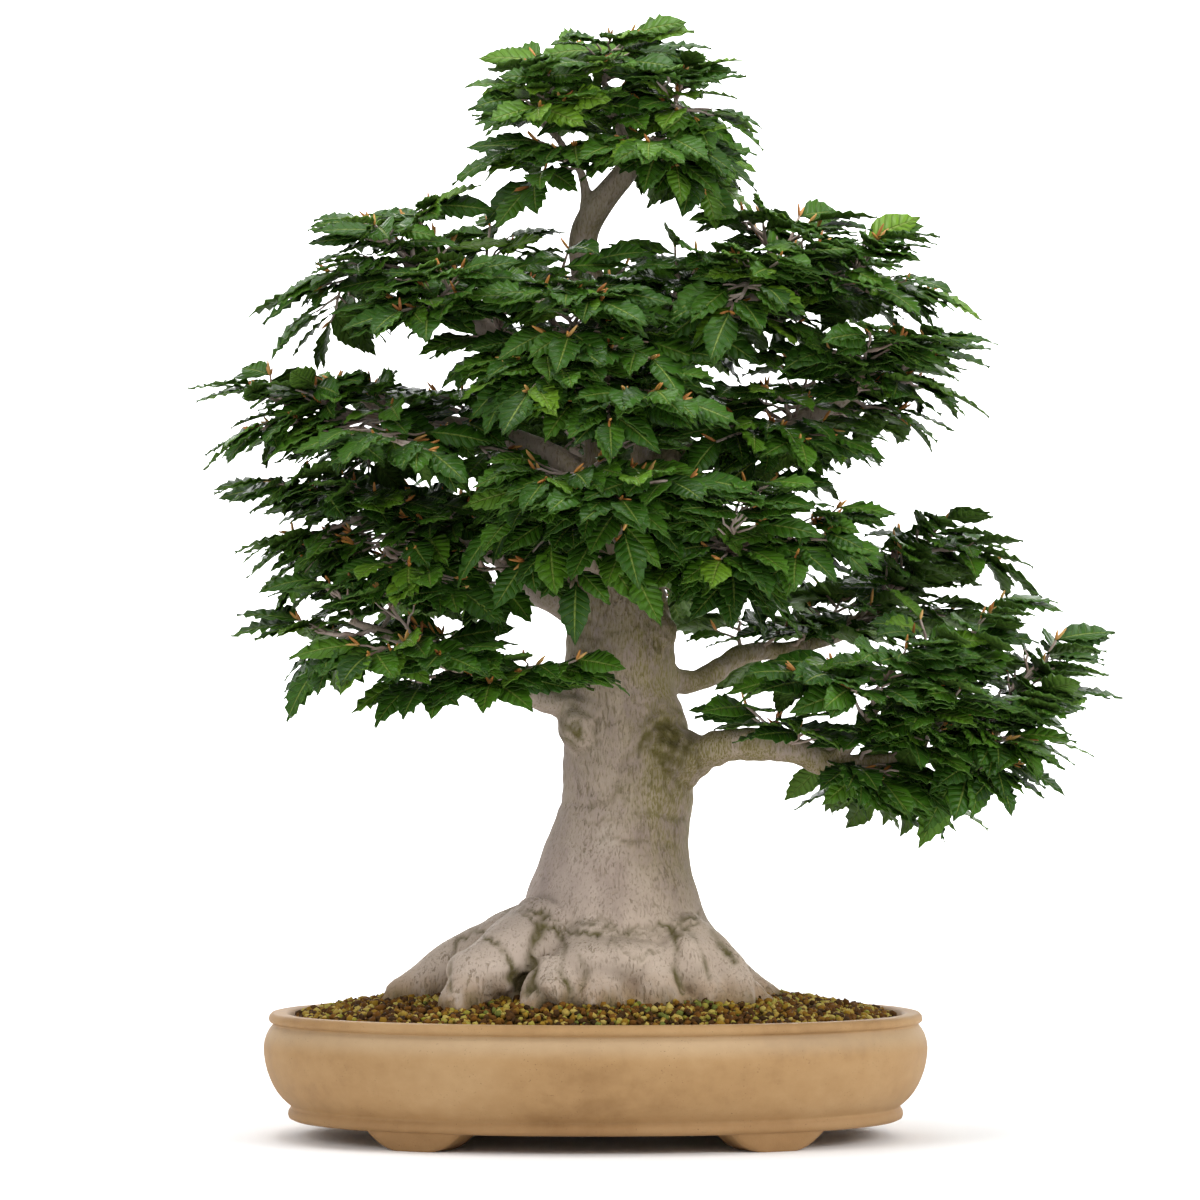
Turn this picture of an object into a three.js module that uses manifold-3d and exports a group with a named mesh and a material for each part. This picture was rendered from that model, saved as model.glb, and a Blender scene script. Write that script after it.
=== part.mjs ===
// A Japanese beech bonsai, about 85 cm high, in an oval stoneware pot 50 cm long.
// Millimetres, +Z up, -Y is the front. The floor is z = 0.
// Until the last line the pot's centre is x = 0, y = 0; there the whole tree is
// moved so that the middle of its outline stands over the origin.
import * as THREE from "three";
import { mergeVertices } from "three/addons/utils/BufferGeometryUtils.js";
import Module from "manifold-3d";

const wasm = await Module();
wasm.setup();

// Pot: half lengths are measured along X, and every ring is OVAL_INSET narrower along Y.
const OVAL_INSET = 60;
const OVAL_POWER = 2.2;
const POT_SIDES = 34;
const FOOT_HEIGHT = 13;
const FLOOR_TOP = 26;
const RIM_TOP = 93;
const BELLY = 250.5;
const FOOT_CENTRE = [135, 146];
const FOOT_TURN = THREE.MathUtils.degToRad(25);
const DRAIN_RADIUS = 13;
const DRAIN_X = 85;

// Soil and the mesh squares that keep it out of the drain holes.
const SOIL_SIDES = 30;
const SOIL_WALL_GAP = 1.3;
const SOIL_EDGE = 90;
const SOIL_RISE = 18;
const GRAIN = 1.4;
const MESH_SIDE = 38;
const MESH_THICK = 1.2;
const MESH_HOLE = 9;
const MESH_PITCH = 13;

// Clear gap between pieces that rest against each other, how near points are made one, and how thin
// a face may be: the first if it can be had, or else the next.
const GAP = 0.35;
const WELD = 0.02;
const THINNEST = [0.008, 0.004, 0.001];

// Leaves: length, half width and thickness of a blade, and how many each stem carries.
const LEAF_LENGTH = 44;
const LEAF_HALF_WIDTH = 10.5;
const BLADE = 0.8;
const LEAVES_PER_TIP = 3;
const STEM_SPACING = 16;
const TWIG_HALF = 0.7;

// Trunk: height, centre x and y, and mean radius, from the plug in the soil upwards.
const TRUNK = [
  [62, 10, 0, 88],
  [98, 6, 0, 108],
  [110, 6, 0, 107],
  [122, 8, 0, 99],
  [136, 11, 0, 89],
  [152, 13, 0, 79],
  [162, 13, 0, 72],
  [176, 13, 0, 67],
  [194, 13, 0, 61],
  [220, 16, 0, 54],
  [250, 24, 0, 50],
  [284, 25, 0, 50],
  [311, 23, 0, 47],
  [338, 17, 0, 43],
  [380, 19, 0, 41],
  [414, 17, 0, 35],
];
const TRUNK_SIDES = 20;

// Upper trunk: route points with a radius each.
const LEADER = [
  [18, 0, 396, 38],
  [20, 0, 430, 32],
  [21, 4, 475, 28],
  [15, 3, 522, 24],
  [11, 0, 575, 20],
  [3, 0, 622, 15],
  [-7, 0, 655, 12.5],
  [-9, -2, 684, 11],
  [5, -5, 709, 10.5],
  [25, -5, 733, 9],
];

// Root lobes: bearing in degrees from +X, extra reach at the soil, and half width in degrees.
const ROOT_LOBES = [
  [184, 34, 17],
  [222, 16, 12],
  [268, 8, 14],
  [318, 12, 13],
  [350, 12, 12],
  [28, 24, 16],
  [72, 16, 14],
  [112, 26, 15],
  [150, 18, 13],
];
const LOBE_TOP = 178;
const LOBE_FULL = 116;

// Surface roots that stand out of the flare: route points and the radius at each end.
const ROOTS = [
  [[[-48, -8, 144], [-98, -16, 128], [-152, -24, 99]], 33, 14],
  [[[-36, -36, 150], [-82, -82, 126], [-106, -106, 98]], 34, 10],
  [[[0, -60, 142], [-36, -110, 106]], 26, 13],
  [[[60, -40, 146], [98, -62, 122], [110, -82, 98]], 27, 9],
  [[[70, -6, 136], [134, -16, 100]], 24, 10],
  [[[-26, 64, 138], [-52, 120, 98]], 25, 10],
  [[[60, 40, 138], [112, 74, 98]], 24, 9],
];

// Swellings: bulges of the root crown, the calluses over old cuts, and the collars of limbs.
// Each is a centre and three half sizes.
const SWELLINGS = [
  [[-82, -80, 126], [29, 26, 20]],
  [[8, -84, 132], [40, 27, 21]],
  [[66, -66, 130], [24, 24, 26]],
  [[50, -30, 288], [23, 19, 24]],
  [[70, -20, 284], [12, 17, 23]],
  [[-12, -30, 307], [17, 16, 19]],
  [[-28, -18, 330], [12, 15, 16]],
  [[50, -20, 378], [12, 13, 14]],
];

// Limbs: route, radius at the start and at the end, and the leafy branchlets that each carries.
// A branchlet is a list of tips: the first starts on the limb, and any others fork from its stem.
const LIMBS = {
  right_low: {
    route: [[71, -20, 286], [108, -40, 295], [146, -48, 290], [179, -45, 279], [218, -35, 281],
      [264, -25, 290], [306, -20, 305]],
    radii: [14, 4],
    branchlets: [
      [[351, 10, 374]],
      [[347, -40, 335]],
      [[313, -60, 294], [265, -50, 264]],
      [[211, -75, 268]],
      [[267, -110, 334], [242, -60, 387]],
      [[304, -40, 403]],
    ],
  },
  right_low_fork: {
    route: [[179, -45, 279], [190, -60, 297], [203, -85, 316], [220, -100, 334]],
    radii: [6, 3],
    branchlets: [
      [[184, -150, 333], [142, -120, 341], [225, -140, 362]],
    ],
  },
  right_back: {
    route: [[53, 10, 344], [80, 30, 344], [112, 55, 364], [151, 75, 370], [191, 90, 381],
      [227, 95, 405]],
    radii: [10, 4],
    branchlets: [
      [[269, 40, 468], [306, 60, 438]],
      [[238, 90, 459]],
      [[280, 120, 402]],
      [[206, 147, 429]],
    ],
  },
  right_mid: {
    route: [[34, -15, 464], [71, -40, 448], [108, -65, 443], [144, -80, 449]],
    radii: [8, 3],
    branchlets: [
      [[179, -66, 465], [147, -122, 432]],
      [[91, -130, 428], [105, -140, 471]],
    ],
  },
  right_upper: {
    route: [[26, 10, 504], [80, 20, 516], [126, 20, 528], [156, 15, 543], [183, 10, 556], [205, 5, 572]],
    radii: [12, 5],
    branchlets: [
      [[254, 0, 568], [247, -40, 602]],
      [[203, -85, 600]],
      [[152, -70, 520]],
      [[198, 70, 548], [238, 80, 603]],
    ],
  },
  right_top: {
    route: [[20, -5, 577], [35, -10, 597], [50, -15, 612], [79, -20, 620], [113, -25, 630],
      [141, -25, 642]],
    radii: [12, 5],
    branchlets: [
      [[250, -10, 639], [204, -10, 677]],
      [[156, 10, 699], [113, -20, 695]],
      [[136, -95, 651], [99, -110, 612]],
      [[182, 70, 665]],
    ],
  },
  left_low: {
    route: [[-16, -25, 320], [-49, -45, 331], [-79, -55, 342], [-105, -60, 351], [-146, -60, 372],
      [-184, -50, 387]],
    radii: [9, 3.5],
    branchlets: [
      [[-205, -70, 353], [-223, -20, 388]],
      [[-165, -120, 359]],
      [[-114, -120, 359]],
    ],
  },
  left_mid: {
    route: [[-4, 0, 389], [-42, 0, 412], [-73, 10, 439], [-108, 15, 455], [-150, 20, 463], [-188, 15, 466]],
    radii: [13, 4.5],
    branchlets: [
      [[-225, 0, 420], [-222, 60, 454]],
      [[-160, -80, 423], [-100, -90, 408]],
      [[-246, -20, 494]],
      [[-155, 120, 410]],
    ],
  },
  left_back: {
    route: [[-4, 15, 413], [-39, 50, 430], [-67, 90, 444], [-107, 120, 473]],
    radii: [8, 3],
    branchlets: [[[-158, 143, 501], [-117, 172, 455]]],
  },
  front: {
    route: [[4, -18, 418], [-12, -52, 443], [-11, -85, 475], [-4, -105, 495]],
    radii: [8, 3.5],
    branchlets: [
      [[-36, -170, 483]],
      [[18, -185, 468], [68, -160, 484]],
    ],
  },
  left_upper: {
    route: [[-4, 0, 496], [-43, 10, 519], [-88, 15, 535], [-134, 10, 542], [-179, 0, 545],
      [-217, -10, 541]],
    radii: [11, 4],
    branchlets: [
      [[-258, -20, 532], [-249, 10, 577]],
      [[-206, 60, 578]],
      [[-181, -90, 519], [-122, -124, 508]],
      [[-199, 70, 501]],
    ],
  },
  left_top: {
    route: [[-4, -10, 575], [-38, -20, 587], [-72, -25, 601], [-99, -25, 618], [-121, -20, 644],
      [-145, -10, 660]],
    radii: [11, 4],
    branchlets: [
      [[-201, -20, 653], [-204, 30, 621]],
      [[-176, 0, 692], [-126, -10, 704]],
      [[-144, -95, 614], [-100, -90, 644]],
      [[-81, 20, 693]],
    ],
  },
  front_upper: {
    route: [[3, -15, 551], [2, -40, 572], [-4, -60, 588], [-15, -75, 602]],
    radii: [7, 3.5],
    branchlets: [
      [[-37, -120, 629], [3, -130, 617]],
      [[-48, -150, 549]],
      [[10, -170, 526], [61, -150, 542]],
    ],
  },
  back_low: {
    route: [[22, 20, 405], [34, 70, 415], [43, 120, 434]],
    radii: [9, 4],
    branchlets: [
      [[-5, 200, 446]],
      [[77, 210, 463], [36, 190, 397]],
    ],
  },
  back_mid: {
    route: [[15, 15, 489], [-4, 70, 509], [-20, 115, 528]],
    radii: [8, 4],
    branchlets: [
      [[-77, 180, 550]],
      [[-5, 210, 577], [52, 200, 527]],
    ],
  },
  back_top: {
    route: [[7, 8, 596], [19, 50, 616], [35, 85, 635]],
    radii: [7, 3.5],
    branchlets: [
      [[-28, 130, 664], [51, 140, 673]],
      [[83, 150, 619], [3, 180, 614]],
    ],
  },
  crown_left: {
    route: [[-8, 0, 697], [-10, -5, 727], [-26, -8, 752], [-42, -10, 770]],
    radii: [4.5, 2.5],
    branchlets: [
      [[-50, -15, 808], [-16, 30, 832], [-42, -62, 771]],
    ],
  },
  crown_centre: {
    route: [[25, -5, 732], [20, -5, 761], [9, 0, 787], [6, 0, 808]],
    radii: [5.5, 2.5],
    branchlets: [
      [[11, -30, 828], [42, 30, 824]],
      [[3, 80, 792]],
    ],
  },
  crown_right: {
    route: [[25, -5, 732], [45, -5, 752], [58, -5, 769]],
    radii: [5, 3],
    branchlets: [
      [[68, -5, 806], [74, -35, 768]],
      [[40, -85, 741]],
      [[73, 40, 746]],
    ],
  },
};

// Solids: a geometry becomes a closed solid, and a solid becomes a geometry again.
function solidOf(geometry) {
  const bare = geometry.clone();
  bare.deleteAttribute("normal");
  bare.deleteAttribute("uv");
  const merged = mergeVertices(bare, 1e-4);
  return new wasm.Manifold(
    new wasm.Mesh({
      numProp: 3,
      vertProperties: new Float32Array(merged.attributes.position.array),
      triVerts: new Uint32Array(merged.index.array),
    }),
  );
}

function geometryOf(solid) {
  const mesh = solid.getMesh();
  const geometry = new THREE.BufferGeometry();
  geometry.setAttribute("position", new THREE.BufferAttribute(mesh.vertProperties, 3));
  geometry.setIndex(new THREE.BufferAttribute(mesh.triVerts, 1));
  const flat = geometry.toNonIndexed();
  flat.computeVertexNormals();
  return flat;
}

function largestBody(solid) {
  return solid.decompose().reduce((best, body) => (body.volume() > best.volume() ? body : best));
}

// Whether every edge joins just two faces once points that all but meet are made one, and whether
// no face is a sliver.
function isSound(solid, thinnest) {
  const { vertProperties, triVerts } = solid.getMesh();
  const cornerOf = (i) => new THREE.Vector3().fromArray(vertProperties, 3 * i);
  const labelOf = (corner) => corner.toArray().map((value) => value.toFixed(2)).join(" ");
  const counts = new Map();
  const face = new THREE.Triangle();
  for (let i = 0; i < triVerts.length; i += 3) {
    const corners = Array.from(triVerts.slice(i, i + 3), cornerOf);
    const labels = corners.map(labelOf);
    const longest = Math.max(...corners.map((corner, k) => corner.distanceTo(corners[(k + 1) % 3])));
    if ((2 * face.set(...corners).getArea()) / longest < thinnest) return false;
    for (const k of [0, 1, 2]) {
      const edge = [labels[k], labels[(k + 1) % 3]].sort().join("|");
      counts.set(edge, (counts.get(edge) ?? 0) + 1);
    }
  }
  return [...counts.values()].every((count) => count === 2);
}

function vector(point) {
  return new THREE.Vector3(point[0], point[1], point[2]);
}

// Seeded draws, so that the tree is the same every time.
let seed = 20251;

function random() {
  seed = (seed * 16807) % 2147483647;
  return seed / 2147483647;
}

function spread(amount) {
  return (random() * 2 - 1) * amount;
}

// A fixed wobble between -1 and 1 for a place on a surface.
function wobble(a, b) {
  const wave = Math.sin(a * 12.9898 + b * 78.233) * 43758.5453;
  return (wave - Math.floor(wave)) * 2 - 1;
}

// The oval plan: a point at a half length and an angle.
function ovalPoint(halfLength, angle) {
  const bend = 200;
  const halfWidth =
    halfLength > bend ? halfLength - OVAL_INSET : (halfLength * (bend - OVAL_INSET)) / bend;
  const c = Math.cos(angle);
  const s = Math.sin(angle);
  return [
    halfLength * Math.sign(c) * Math.abs(c) ** (2 / OVAL_POWER),
    halfWidth * Math.sign(s) * Math.abs(s) ** (2 / OVAL_POWER),
  ];
}

// A ring or bowl turned from a profile of half length and height, pressed to the oval plan.
function ovalLathe(profile, sides) {
  const points = profile.map(([r, z]) => new THREE.Vector2(r, z));
  const lathe = new THREE.LatheGeometry(points, sides);
  const position = lathe.attributes.position;
  for (let i = 0; i < position.count; i += 1) {
    const halfLength = Math.hypot(position.getX(i), position.getZ(i));
    const angle = Math.atan2(position.getX(i), position.getZ(i));
    const [x, y] = ovalPoint(halfLength, angle);
    position.setXYZ(i, x, y, position.getY(i));
  }
  const solid = solidOf(lathe);
  return solid.volume() < 0 ? solidOf(flipped(lathe)) : solid;
}

function flipped(geometry) {
  const copy = geometry.clone();
  const index = copy.index.array;
  for (let i = 0; i < index.length; i += 3) {
    [index[i + 1], index[i + 2]] = [index[i + 2], index[i + 1]];
  }
  return copy;
}

// A tapering tube along a curve: a cylinder whose rings are carried to the curve.
function tube(curve, radiusAt, sides, steps, grow = 0) {
  const cylinder = new THREE.CylinderGeometry(1, 1, 1, sides, steps);
  const frames = curve.computeFrenetFrames(steps, false);
  const position = cylinder.attributes.position;
  const point = new THREE.Vector3();
  for (let i = 0; i < position.count; i += 1) {
    const along = THREE.MathUtils.clamp(position.getY(i) + 0.5, 0, 1);
    const ring = Math.round(along * steps);
    const radius = radiusAt(ring / steps) + grow;
    curve.getPointAt(ring / steps, point);
    point.addScaledVector(frames.normals[ring], position.getX(i) * radius);
    point.addScaledVector(frames.binormals[ring], -position.getZ(i) * radius);
    if (ring === steps) point.addScaledVector(frames.tangents[ring], grow);
    position.setXYZ(i, point.x, point.y, point.z);
  }
  return solidOf(cylinder);
}

function smoothCurve(points) {
  return new THREE.CatmullRomCurve3(points.map(vector), false, "catmullrom", 0.5);
}

function taper(start, end) {
  return (t) => start + (end - start) * t;
}

function mix(a, b, t) {
  return a + (b - a) * t;
}

// Pot: foot moulding, belly, groove and rim outside, a plain bowl inside.
function makePot() {
  const profile = [
    [0, FOOT_HEIGHT],
    [228, FOOT_HEIGHT],
    [232, FOOT_HEIGHT + 3],
    [231.5, FOOT_HEIGHT + 7.5],
    [229.6, FOOT_HEIGHT + 9.5],
    [238.5, 31.5],
    [245, 42],
    [249, 56],
    [BELLY, 66],
    [249, 76],
    [243.5, 84],
    [246, 86],
    [246, 90.5],
    [243, RIM_TOP],
    [233.5, RIM_TOP],
    [231, 90.5],
    [228, 60],
    [212, 34],
    [188, FLOOR_TOP],
    [0, FLOOR_TOP],
  ];
  const ring = ovalLathe(
    [[200, 0], [226, 0], [229, FOOT_HEIGHT + 1], [200, FOOT_HEIGHT + 1], [200, 0]],
    POT_SIDES,
  );
  const bracket = new THREE.Shape();
  bracket.moveTo(-42, FOOT_HEIGHT + 2);
  bracket.lineTo(-34, FOOT_HEIGHT - 2.5);
  bracket.lineTo(-26, 8);
  bracket.lineTo(-19, 3);
  bracket.lineTo(-16, -1);
  bracket.lineTo(16, -1);
  bracket.lineTo(19, 3);
  bracket.lineTo(26, 8);
  bracket.lineTo(34, FOOT_HEIGHT - 2.5);
  bracket.lineTo(42, FOOT_HEIGHT + 2);
  let pot = ovalLathe(profile, POT_SIDES);
  for (const [sideX, sideY] of [[-1, -1], [1, -1], [1, 1], [-1, 1]]) {
    const block = new THREE.ExtrudeGeometry(bracket, { depth: 120, bevelEnabled: false });
    block.translate(0, 0, -60);
    block.rotateX(Math.PI / 2);
    block.rotateZ(sideX * sideY * -FOOT_TURN);
    block.translate(sideX * FOOT_CENTRE[0], sideY * FOOT_CENTRE[1], 0);
    pot = pot.add(ring.intersect(solidOf(block)));
  }
  for (const x of [-DRAIN_X, DRAIN_X]) {
    const drill = new THREE.CylinderGeometry(DRAIN_RADIUS, DRAIN_RADIUS, 60, 20);
    drill.rotateX(Math.PI / 2);
    drill.translate(x, 0, 20);
    pot = pot.subtract(solidOf(drill));
  }
  return pot;
}

// A square of plastic mesh over a drain hole.
function makeDrainMesh(x) {
  const plate = new THREE.BoxGeometry(MESH_SIDE, MESH_SIDE, MESH_THICK);
  let mesh = solidOf(plate);
  for (const row of [-0.5, 0.5]) {
    for (const column of [-0.5, 0.5]) {
      const hole = new THREE.BoxGeometry(MESH_HOLE, MESH_HOLE, 4 * MESH_THICK);
      hole.translate(column * MESH_PITCH, row * MESH_PITCH, 0);
      mesh = mesh.subtract(solidOf(hole));
    }
  }
  return mesh.translate([x, 0, FLOOR_TOP + GAP + MESH_THICK / 2]);
}

// Soil: fills the pot, rises to the trunk, and has a grainy top.
function makeSoil(trunkRoom) {
  const bottom = FLOOR_TOP + GAP;
  const profile = [
    [0, bottom],
    [188 - SOIL_WALL_GAP, bottom],
    [228 - SOIL_WALL_GAP, 60],
    [231 - SOIL_WALL_GAP, SOIL_EDGE - 1],
  ];
  for (const share of [0.96, 0.88, 0.79, 0.69, 0.57]) {
    const rise = Math.cos((Math.PI / 2) * ((share - 0.4) / 0.6));
    profile.push([230 * share, SOIL_EDGE + SOIL_RISE * rise]);
  }
  profile.push([0, SOIL_EDGE + SOIL_RISE]);
  const points = profile.map(([r, z]) => new THREE.Vector2(r, z));
  const lathe = new THREE.LatheGeometry(points, SOIL_SIDES);
  const position = lathe.attributes.position;
  for (let i = 0; i < position.count; i += 1) {
    const halfLength = Math.hypot(position.getX(i), position.getZ(i));
    const angle = Math.atan2(position.getX(i), position.getZ(i));
    const [x, y] = ovalPoint(halfLength, angle);
    const height = position.getY(i);
    const grainy = height > SOIL_EDGE && halfLength > 1;
    const turn = Math.round((angle * SOIL_SIDES) / (2 * Math.PI));
    const lift = wobble((turn + SOIL_SIDES) % SOIL_SIDES, Math.round(halfLength));
    position.setXYZ(i, x, y, height + (grainy ? GRAIN * lift : 0));
  }
  let soil = solidOf(lathe);
  if (soil.volume() < 0) soil = solidOf(flipped(lathe));
  for (const x of [-DRAIN_X, DRAIN_X]) {
    const room = new THREE.BoxGeometry(MESH_SIDE + 2 * GAP, MESH_SIDE + 2 * GAP, 8);
    room.translate(x, 0, FLOOR_TOP + 2 * GAP + MESH_THICK - 4);
    soil = soil.subtract(solidOf(room));
  }
  return largestBody(soil.subtract(trunkRoom));
}

// The flare: mean radius by height, with a lobe for each root.
function flareRadius(height, meanRadius, angle) {
  const rise = THREE.MathUtils.clamp((LOBE_TOP - height) / (LOBE_TOP - LOBE_FULL), 0, 1);
  const strength = height < 84 ? 0.3 : rise * rise * (3 - 2 * rise);
  let extra = -7 * strength;
  for (const [bearing, reach, halfWidth] of ROOT_LOBES) {
    const off = ((THREE.MathUtils.radToDeg(angle) - bearing + 540) % 360) - 180;
    extra += reach * strength * Math.exp(-((off / halfWidth) ** 2));
  }
  return meanRadius + extra;
}

// Trunk, roots and limbs grew as one piece. With grow it is the room that other pieces leave for it.
function makeTrunk(grow = 0) {
  const steps = TRUNK.length - 1;
  const column = new THREE.CylinderGeometry(1, 1, 1, TRUNK_SIDES, steps);
  const position = column.attributes.position;
  for (let i = 0; i < position.count; i += 1) {
    const [z, x, y, radius] = TRUNK[Math.round((0.5 - position.getY(i)) * steps)];
    const angle = Math.atan2(position.getX(i), position.getZ(i));
    const onAxis = Math.hypot(position.getX(i), position.getZ(i)) < 0.5;
    const reach = onAxis ? 0 : flareRadius(z, radius, angle) + grow;
    position.setXYZ(i, x + reach * Math.cos(angle), y + reach * Math.sin(angle), z);
  }
  let trunk = solidOf(column);
  if (trunk.volume() < 0) trunk = solidOf(flipped(column));
  const leader = smoothCurve(LEADER);
  const leaderRadius = (t) => {
    const place = t * (LEADER.length - 1);
    const from = Math.min(Math.floor(place), LEADER.length - 2);
    return mix(LEADER[from][3], LEADER[from + 1][3], place - from);
  };
  const pieces = [tube(leader, leaderRadius, 8, LEADER.length - 1, grow)];
  for (const [route, start, end] of ROOTS) {
    pieces.push(tube(smoothCurve(route), taper(start, end), 6, route.length - 1, grow));
  }
  for (const [centre, sizes] of SWELLINGS) {
    const ball = new THREE.SphereGeometry(1, 8, 4);
    ball.scale(sizes[0] + grow, sizes[1] + grow, sizes[2] + grow);
    ball.translate(...centre);
    pieces.push(solidOf(ball));
  }
  for (const { route, radii } of Object.values(LIMBS)) {
    const sides = radii[0] > 9 ? 6 : 5;
    pieces.push(tube(smoothCurve(route), taper(radii[0], radii[1]), sides, route.length - 1, grow));
  }
  for (const piece of pieces) trunk = trunk.add(piece);
  return trunk;
}

// Leafy branchlets. growSpray works out one stem with its twigs and leaves as plain places.
const UP = new THREE.Vector3(0, 0, 1);

function nearestOn(curve, tip) {
  let best = 0;
  let least = Infinity;
  for (let i = 0; i <= 60; i += 1) {
    const gap = curve.getPoint(i / 60).distanceTo(tip);
    if (gap < least) {
      least = gap;
      best = i / 60;
    }
  }
  return [best, least];
}

// Out of the crown, and a little to the front, where the leaves get their light.
function outwardAt(point) {
  return new THREE.Vector3(0.6 * (point.x - 18), point.y - 60, 0).normalize();
}

// A leaf: where it starts, its direction, the way its face looks and its length.
function growLeaf(base, heading) {
  const length = LEAF_LENGTH * (0.86 + 0.34 * random());
  const outward = outwardAt(base);
  const along = heading.clone().normalize().addScaledVector(outward, 0.25);
  along.z = Math.min(along.z, 0.35) - 0.1 - 0.3 * random();
  along.normalize();
  const face = UP.clone()
    .addScaledVector(outward, 0.8 + spread(0.5))
    .add(new THREE.Vector3(spread(0.3), spread(0.3), 0));
  face.addScaledVector(along, -face.dot(along)).normalize();
  return { base: base.clone(), along, face, length, droop: 0.1 + 0.14 * random() };
}

function growSpray(stem) {
  const length = stem.getLength();
  const twigCount = Math.max(3, Math.round(length / 22));
  const twigs = [];
  const leaves = [];
  let side = random() < 0.5 ? 1 : -1;
  for (let k = 0; k < twigCount; k += 1) {
    const place = 0.26 + (0.5 * (k + 0.5)) / twigCount;
    const start = stem.getPoint(place);
    const ahead = stem.getTangent(place);
    const across = new THREE.Vector3().crossVectors(ahead, UP).normalize();
    const turn = THREE.MathUtils.degToRad(48 + spread(12));
    const heading = ahead
      .clone()
      .multiplyScalar(Math.cos(turn))
      .addScaledVector(across, side * Math.sin(turn))
      .addScaledVector(UP, 0.08 + spread(0.22))
      .normalize();
    const reach = THREE.MathUtils.clamp(length * (0.5 - 0.34 * place) * (0.85 + 0.3 * random()), 22, 62);
    const end = start.clone().addScaledVector(heading, reach);
    const twig = { start, end, place, side, leaves: [] };
    const nodes = Math.max(1, Math.round(reach / 15) - 1);
    let leafSide = side;
    for (let j = 0; j < nodes; j += 1) {
      const base = start.clone().lerp(end, (j + 1) / (nodes + 1));
      const leafAcross = new THREE.Vector3().crossVectors(heading, UP).normalize();
      const leafHeading = heading.clone().multiplyScalar(0.6).addScaledVector(leafAcross, leafSide * 0.8);
      twig.leaves.push(growLeaf(base, leafHeading));
      leafSide = -leafSide;
    }
    twig.leaves.push(growLeaf(end, heading));
    twigs.push(twig);
    side = -side;
  }
  const outer = Math.max(2, Math.round(length / 34));
  for (let k = 0; k < outer; k += 1) {
    const place = 0.78 + (0.18 * (k + 0.5)) / outer;
    const ahead = stem.getTangent(place);
    const across = new THREE.Vector3().crossVectors(ahead, UP).normalize();
    const heading = ahead.clone().multiplyScalar(0.62).addScaledVector(across, side * 0.78);
    leaves.push({ ...growLeaf(stem.getPoint(place), heading), place, side });
    side = -side;
  }
  leaves.push({ ...growLeaf(stem.getPoint(1), stem.getTangent(1)), place: 1, side: 0 });
  return { stem, length, twigs, leaves };
}

// Where on its limb a stem starts: behind the nearest point, and clear of the stems already there.
function startPlace(curve, tip, least, taken) {
  const [nearest, gap] = nearestOn(curve, vector(tip));
  const length = curve.getPoint(0).distanceTo(curve.getPoint(1));
  let place = Math.max(least, nearest - (0.45 * gap) / length);
  const step = STEM_SPACING / length;
  while (taken.some((other) => Math.abs(other - place) < step * 0.99) && place - step > 0.05) place -= step;
  taken.push(place);
  return place;
}

// The stem of a tip: it leaves its limb at a slant and bends up a little on the way.
function growStem(curve, place, tip) {
  const end = vector(tip);
  const start = curve.getPoint(place);
  const reach = start.distanceTo(end);
  const middle = start
    .clone()
    .addScaledVector(curve.getTangent(place), 0.24 * reach)
    .addScaledVector(end.clone().sub(start), 0.24)
    .addScaledVector(UP, 0.05 * reach);
  return new THREE.QuadraticBezierCurve3(start, middle, end);
}

// The outline of a leaf's two sides, base to tip, as shares of its length and half width.
const SIDE_A = [[0.2, 0.86], [0.56, 0.88]];
const SIDE_B = [[0.3, 0.98], [0.7, 0.7]];

// A point of a leaf in space.
function leafPoint(leaf, along, across) {
  const wide = (LEAF_HALF_WIDTH * leaf.length) / LEAF_LENGTH;
  const sideways = new THREE.Vector3().crossVectors(leaf.face, leaf.along);
  return leaf.base
    .clone()
    .addScaledVector(leaf.along, along * leaf.length)
    .addScaledVector(sideways, across * wide)
    .addScaledVector(leaf.face, -leaf.droop * leaf.length * along * along);
}

// The most of a sheet, in square millimetres, that may look down where it should look up.
const MOST_TURNED = 2;

// A flat outline, pushed out to a closed sheet whose every corner then goes to its own place.
// A corner holds its place in the flat layout, its place in space, and how thick the sheet is there.
// There is no sheet where the places in space would turn part of the layout over.
function sheetSolid(corners) {
  const shape = new THREE.Shape(corners.map(({ flat }) => new THREE.Vector2(flat[0], flat[1])));
  const sheet = new THREE.ExtrudeGeometry(shape, { depth: 1, bevelEnabled: false });
  const label = (x, y) => `${x.toFixed(2)} ${y.toFixed(2)}`;
  const where = new Map(corners.map((corner) => [label(...corner.flat), corner]));
  const position = sheet.attributes.position;
  let turnedOver = 0;
  for (let i = 0; i < position.count; i += 3) {
    const rows = [i, i + 1, i + 2];
    const triangle = rows.map((row) => where.get(label(position.getX(row), position.getY(row))));
    const heights = rows.map((row) => position.getZ(row) - 0.5);
    const [a, b, c] = triangle.map(({ at, face, thick }, k) => {
      const point = at.clone().addScaledVector(face, heights[k] * thick);
      position.setXYZ(rows[k], point.x, point.y, point.z);
      return point;
    });
    if (heights.some((height) => height < 0)) continue;
    const normal = new THREE.Vector3().crossVectors(b.sub(a), c.sub(a));
    if (triangle.some(({ face }) => normal.dot(face) < 0)) turnedOver += normal.length() / 2;
  }
  return turnedOver > MOST_TURNED ? null : solidOf(sheet);
}

// One leaf alone, used to see whether it clears its neighbours.
function bladeSolid(leaf) {
  const corner = (along, across) => ({
    flat: [along * 100, across * 20],
    at: leafPoint(leaf, along, across),
    face: leaf.face,
    thick: BLADE,
  });
  return sheetSolid([
    corner(0.06, 0),
    ...SIDE_A.map(([along, across]) => corner(along, -across)),
    corner(1, 0),
    ...SIDE_B.toReversed().map(([along, across]) => corner(along, across)),
  ]);
}

// In the flat layout of a stem its end leaf is turned aside, past a corner this far beyond the end.
const END_LEAD = 30;

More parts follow.
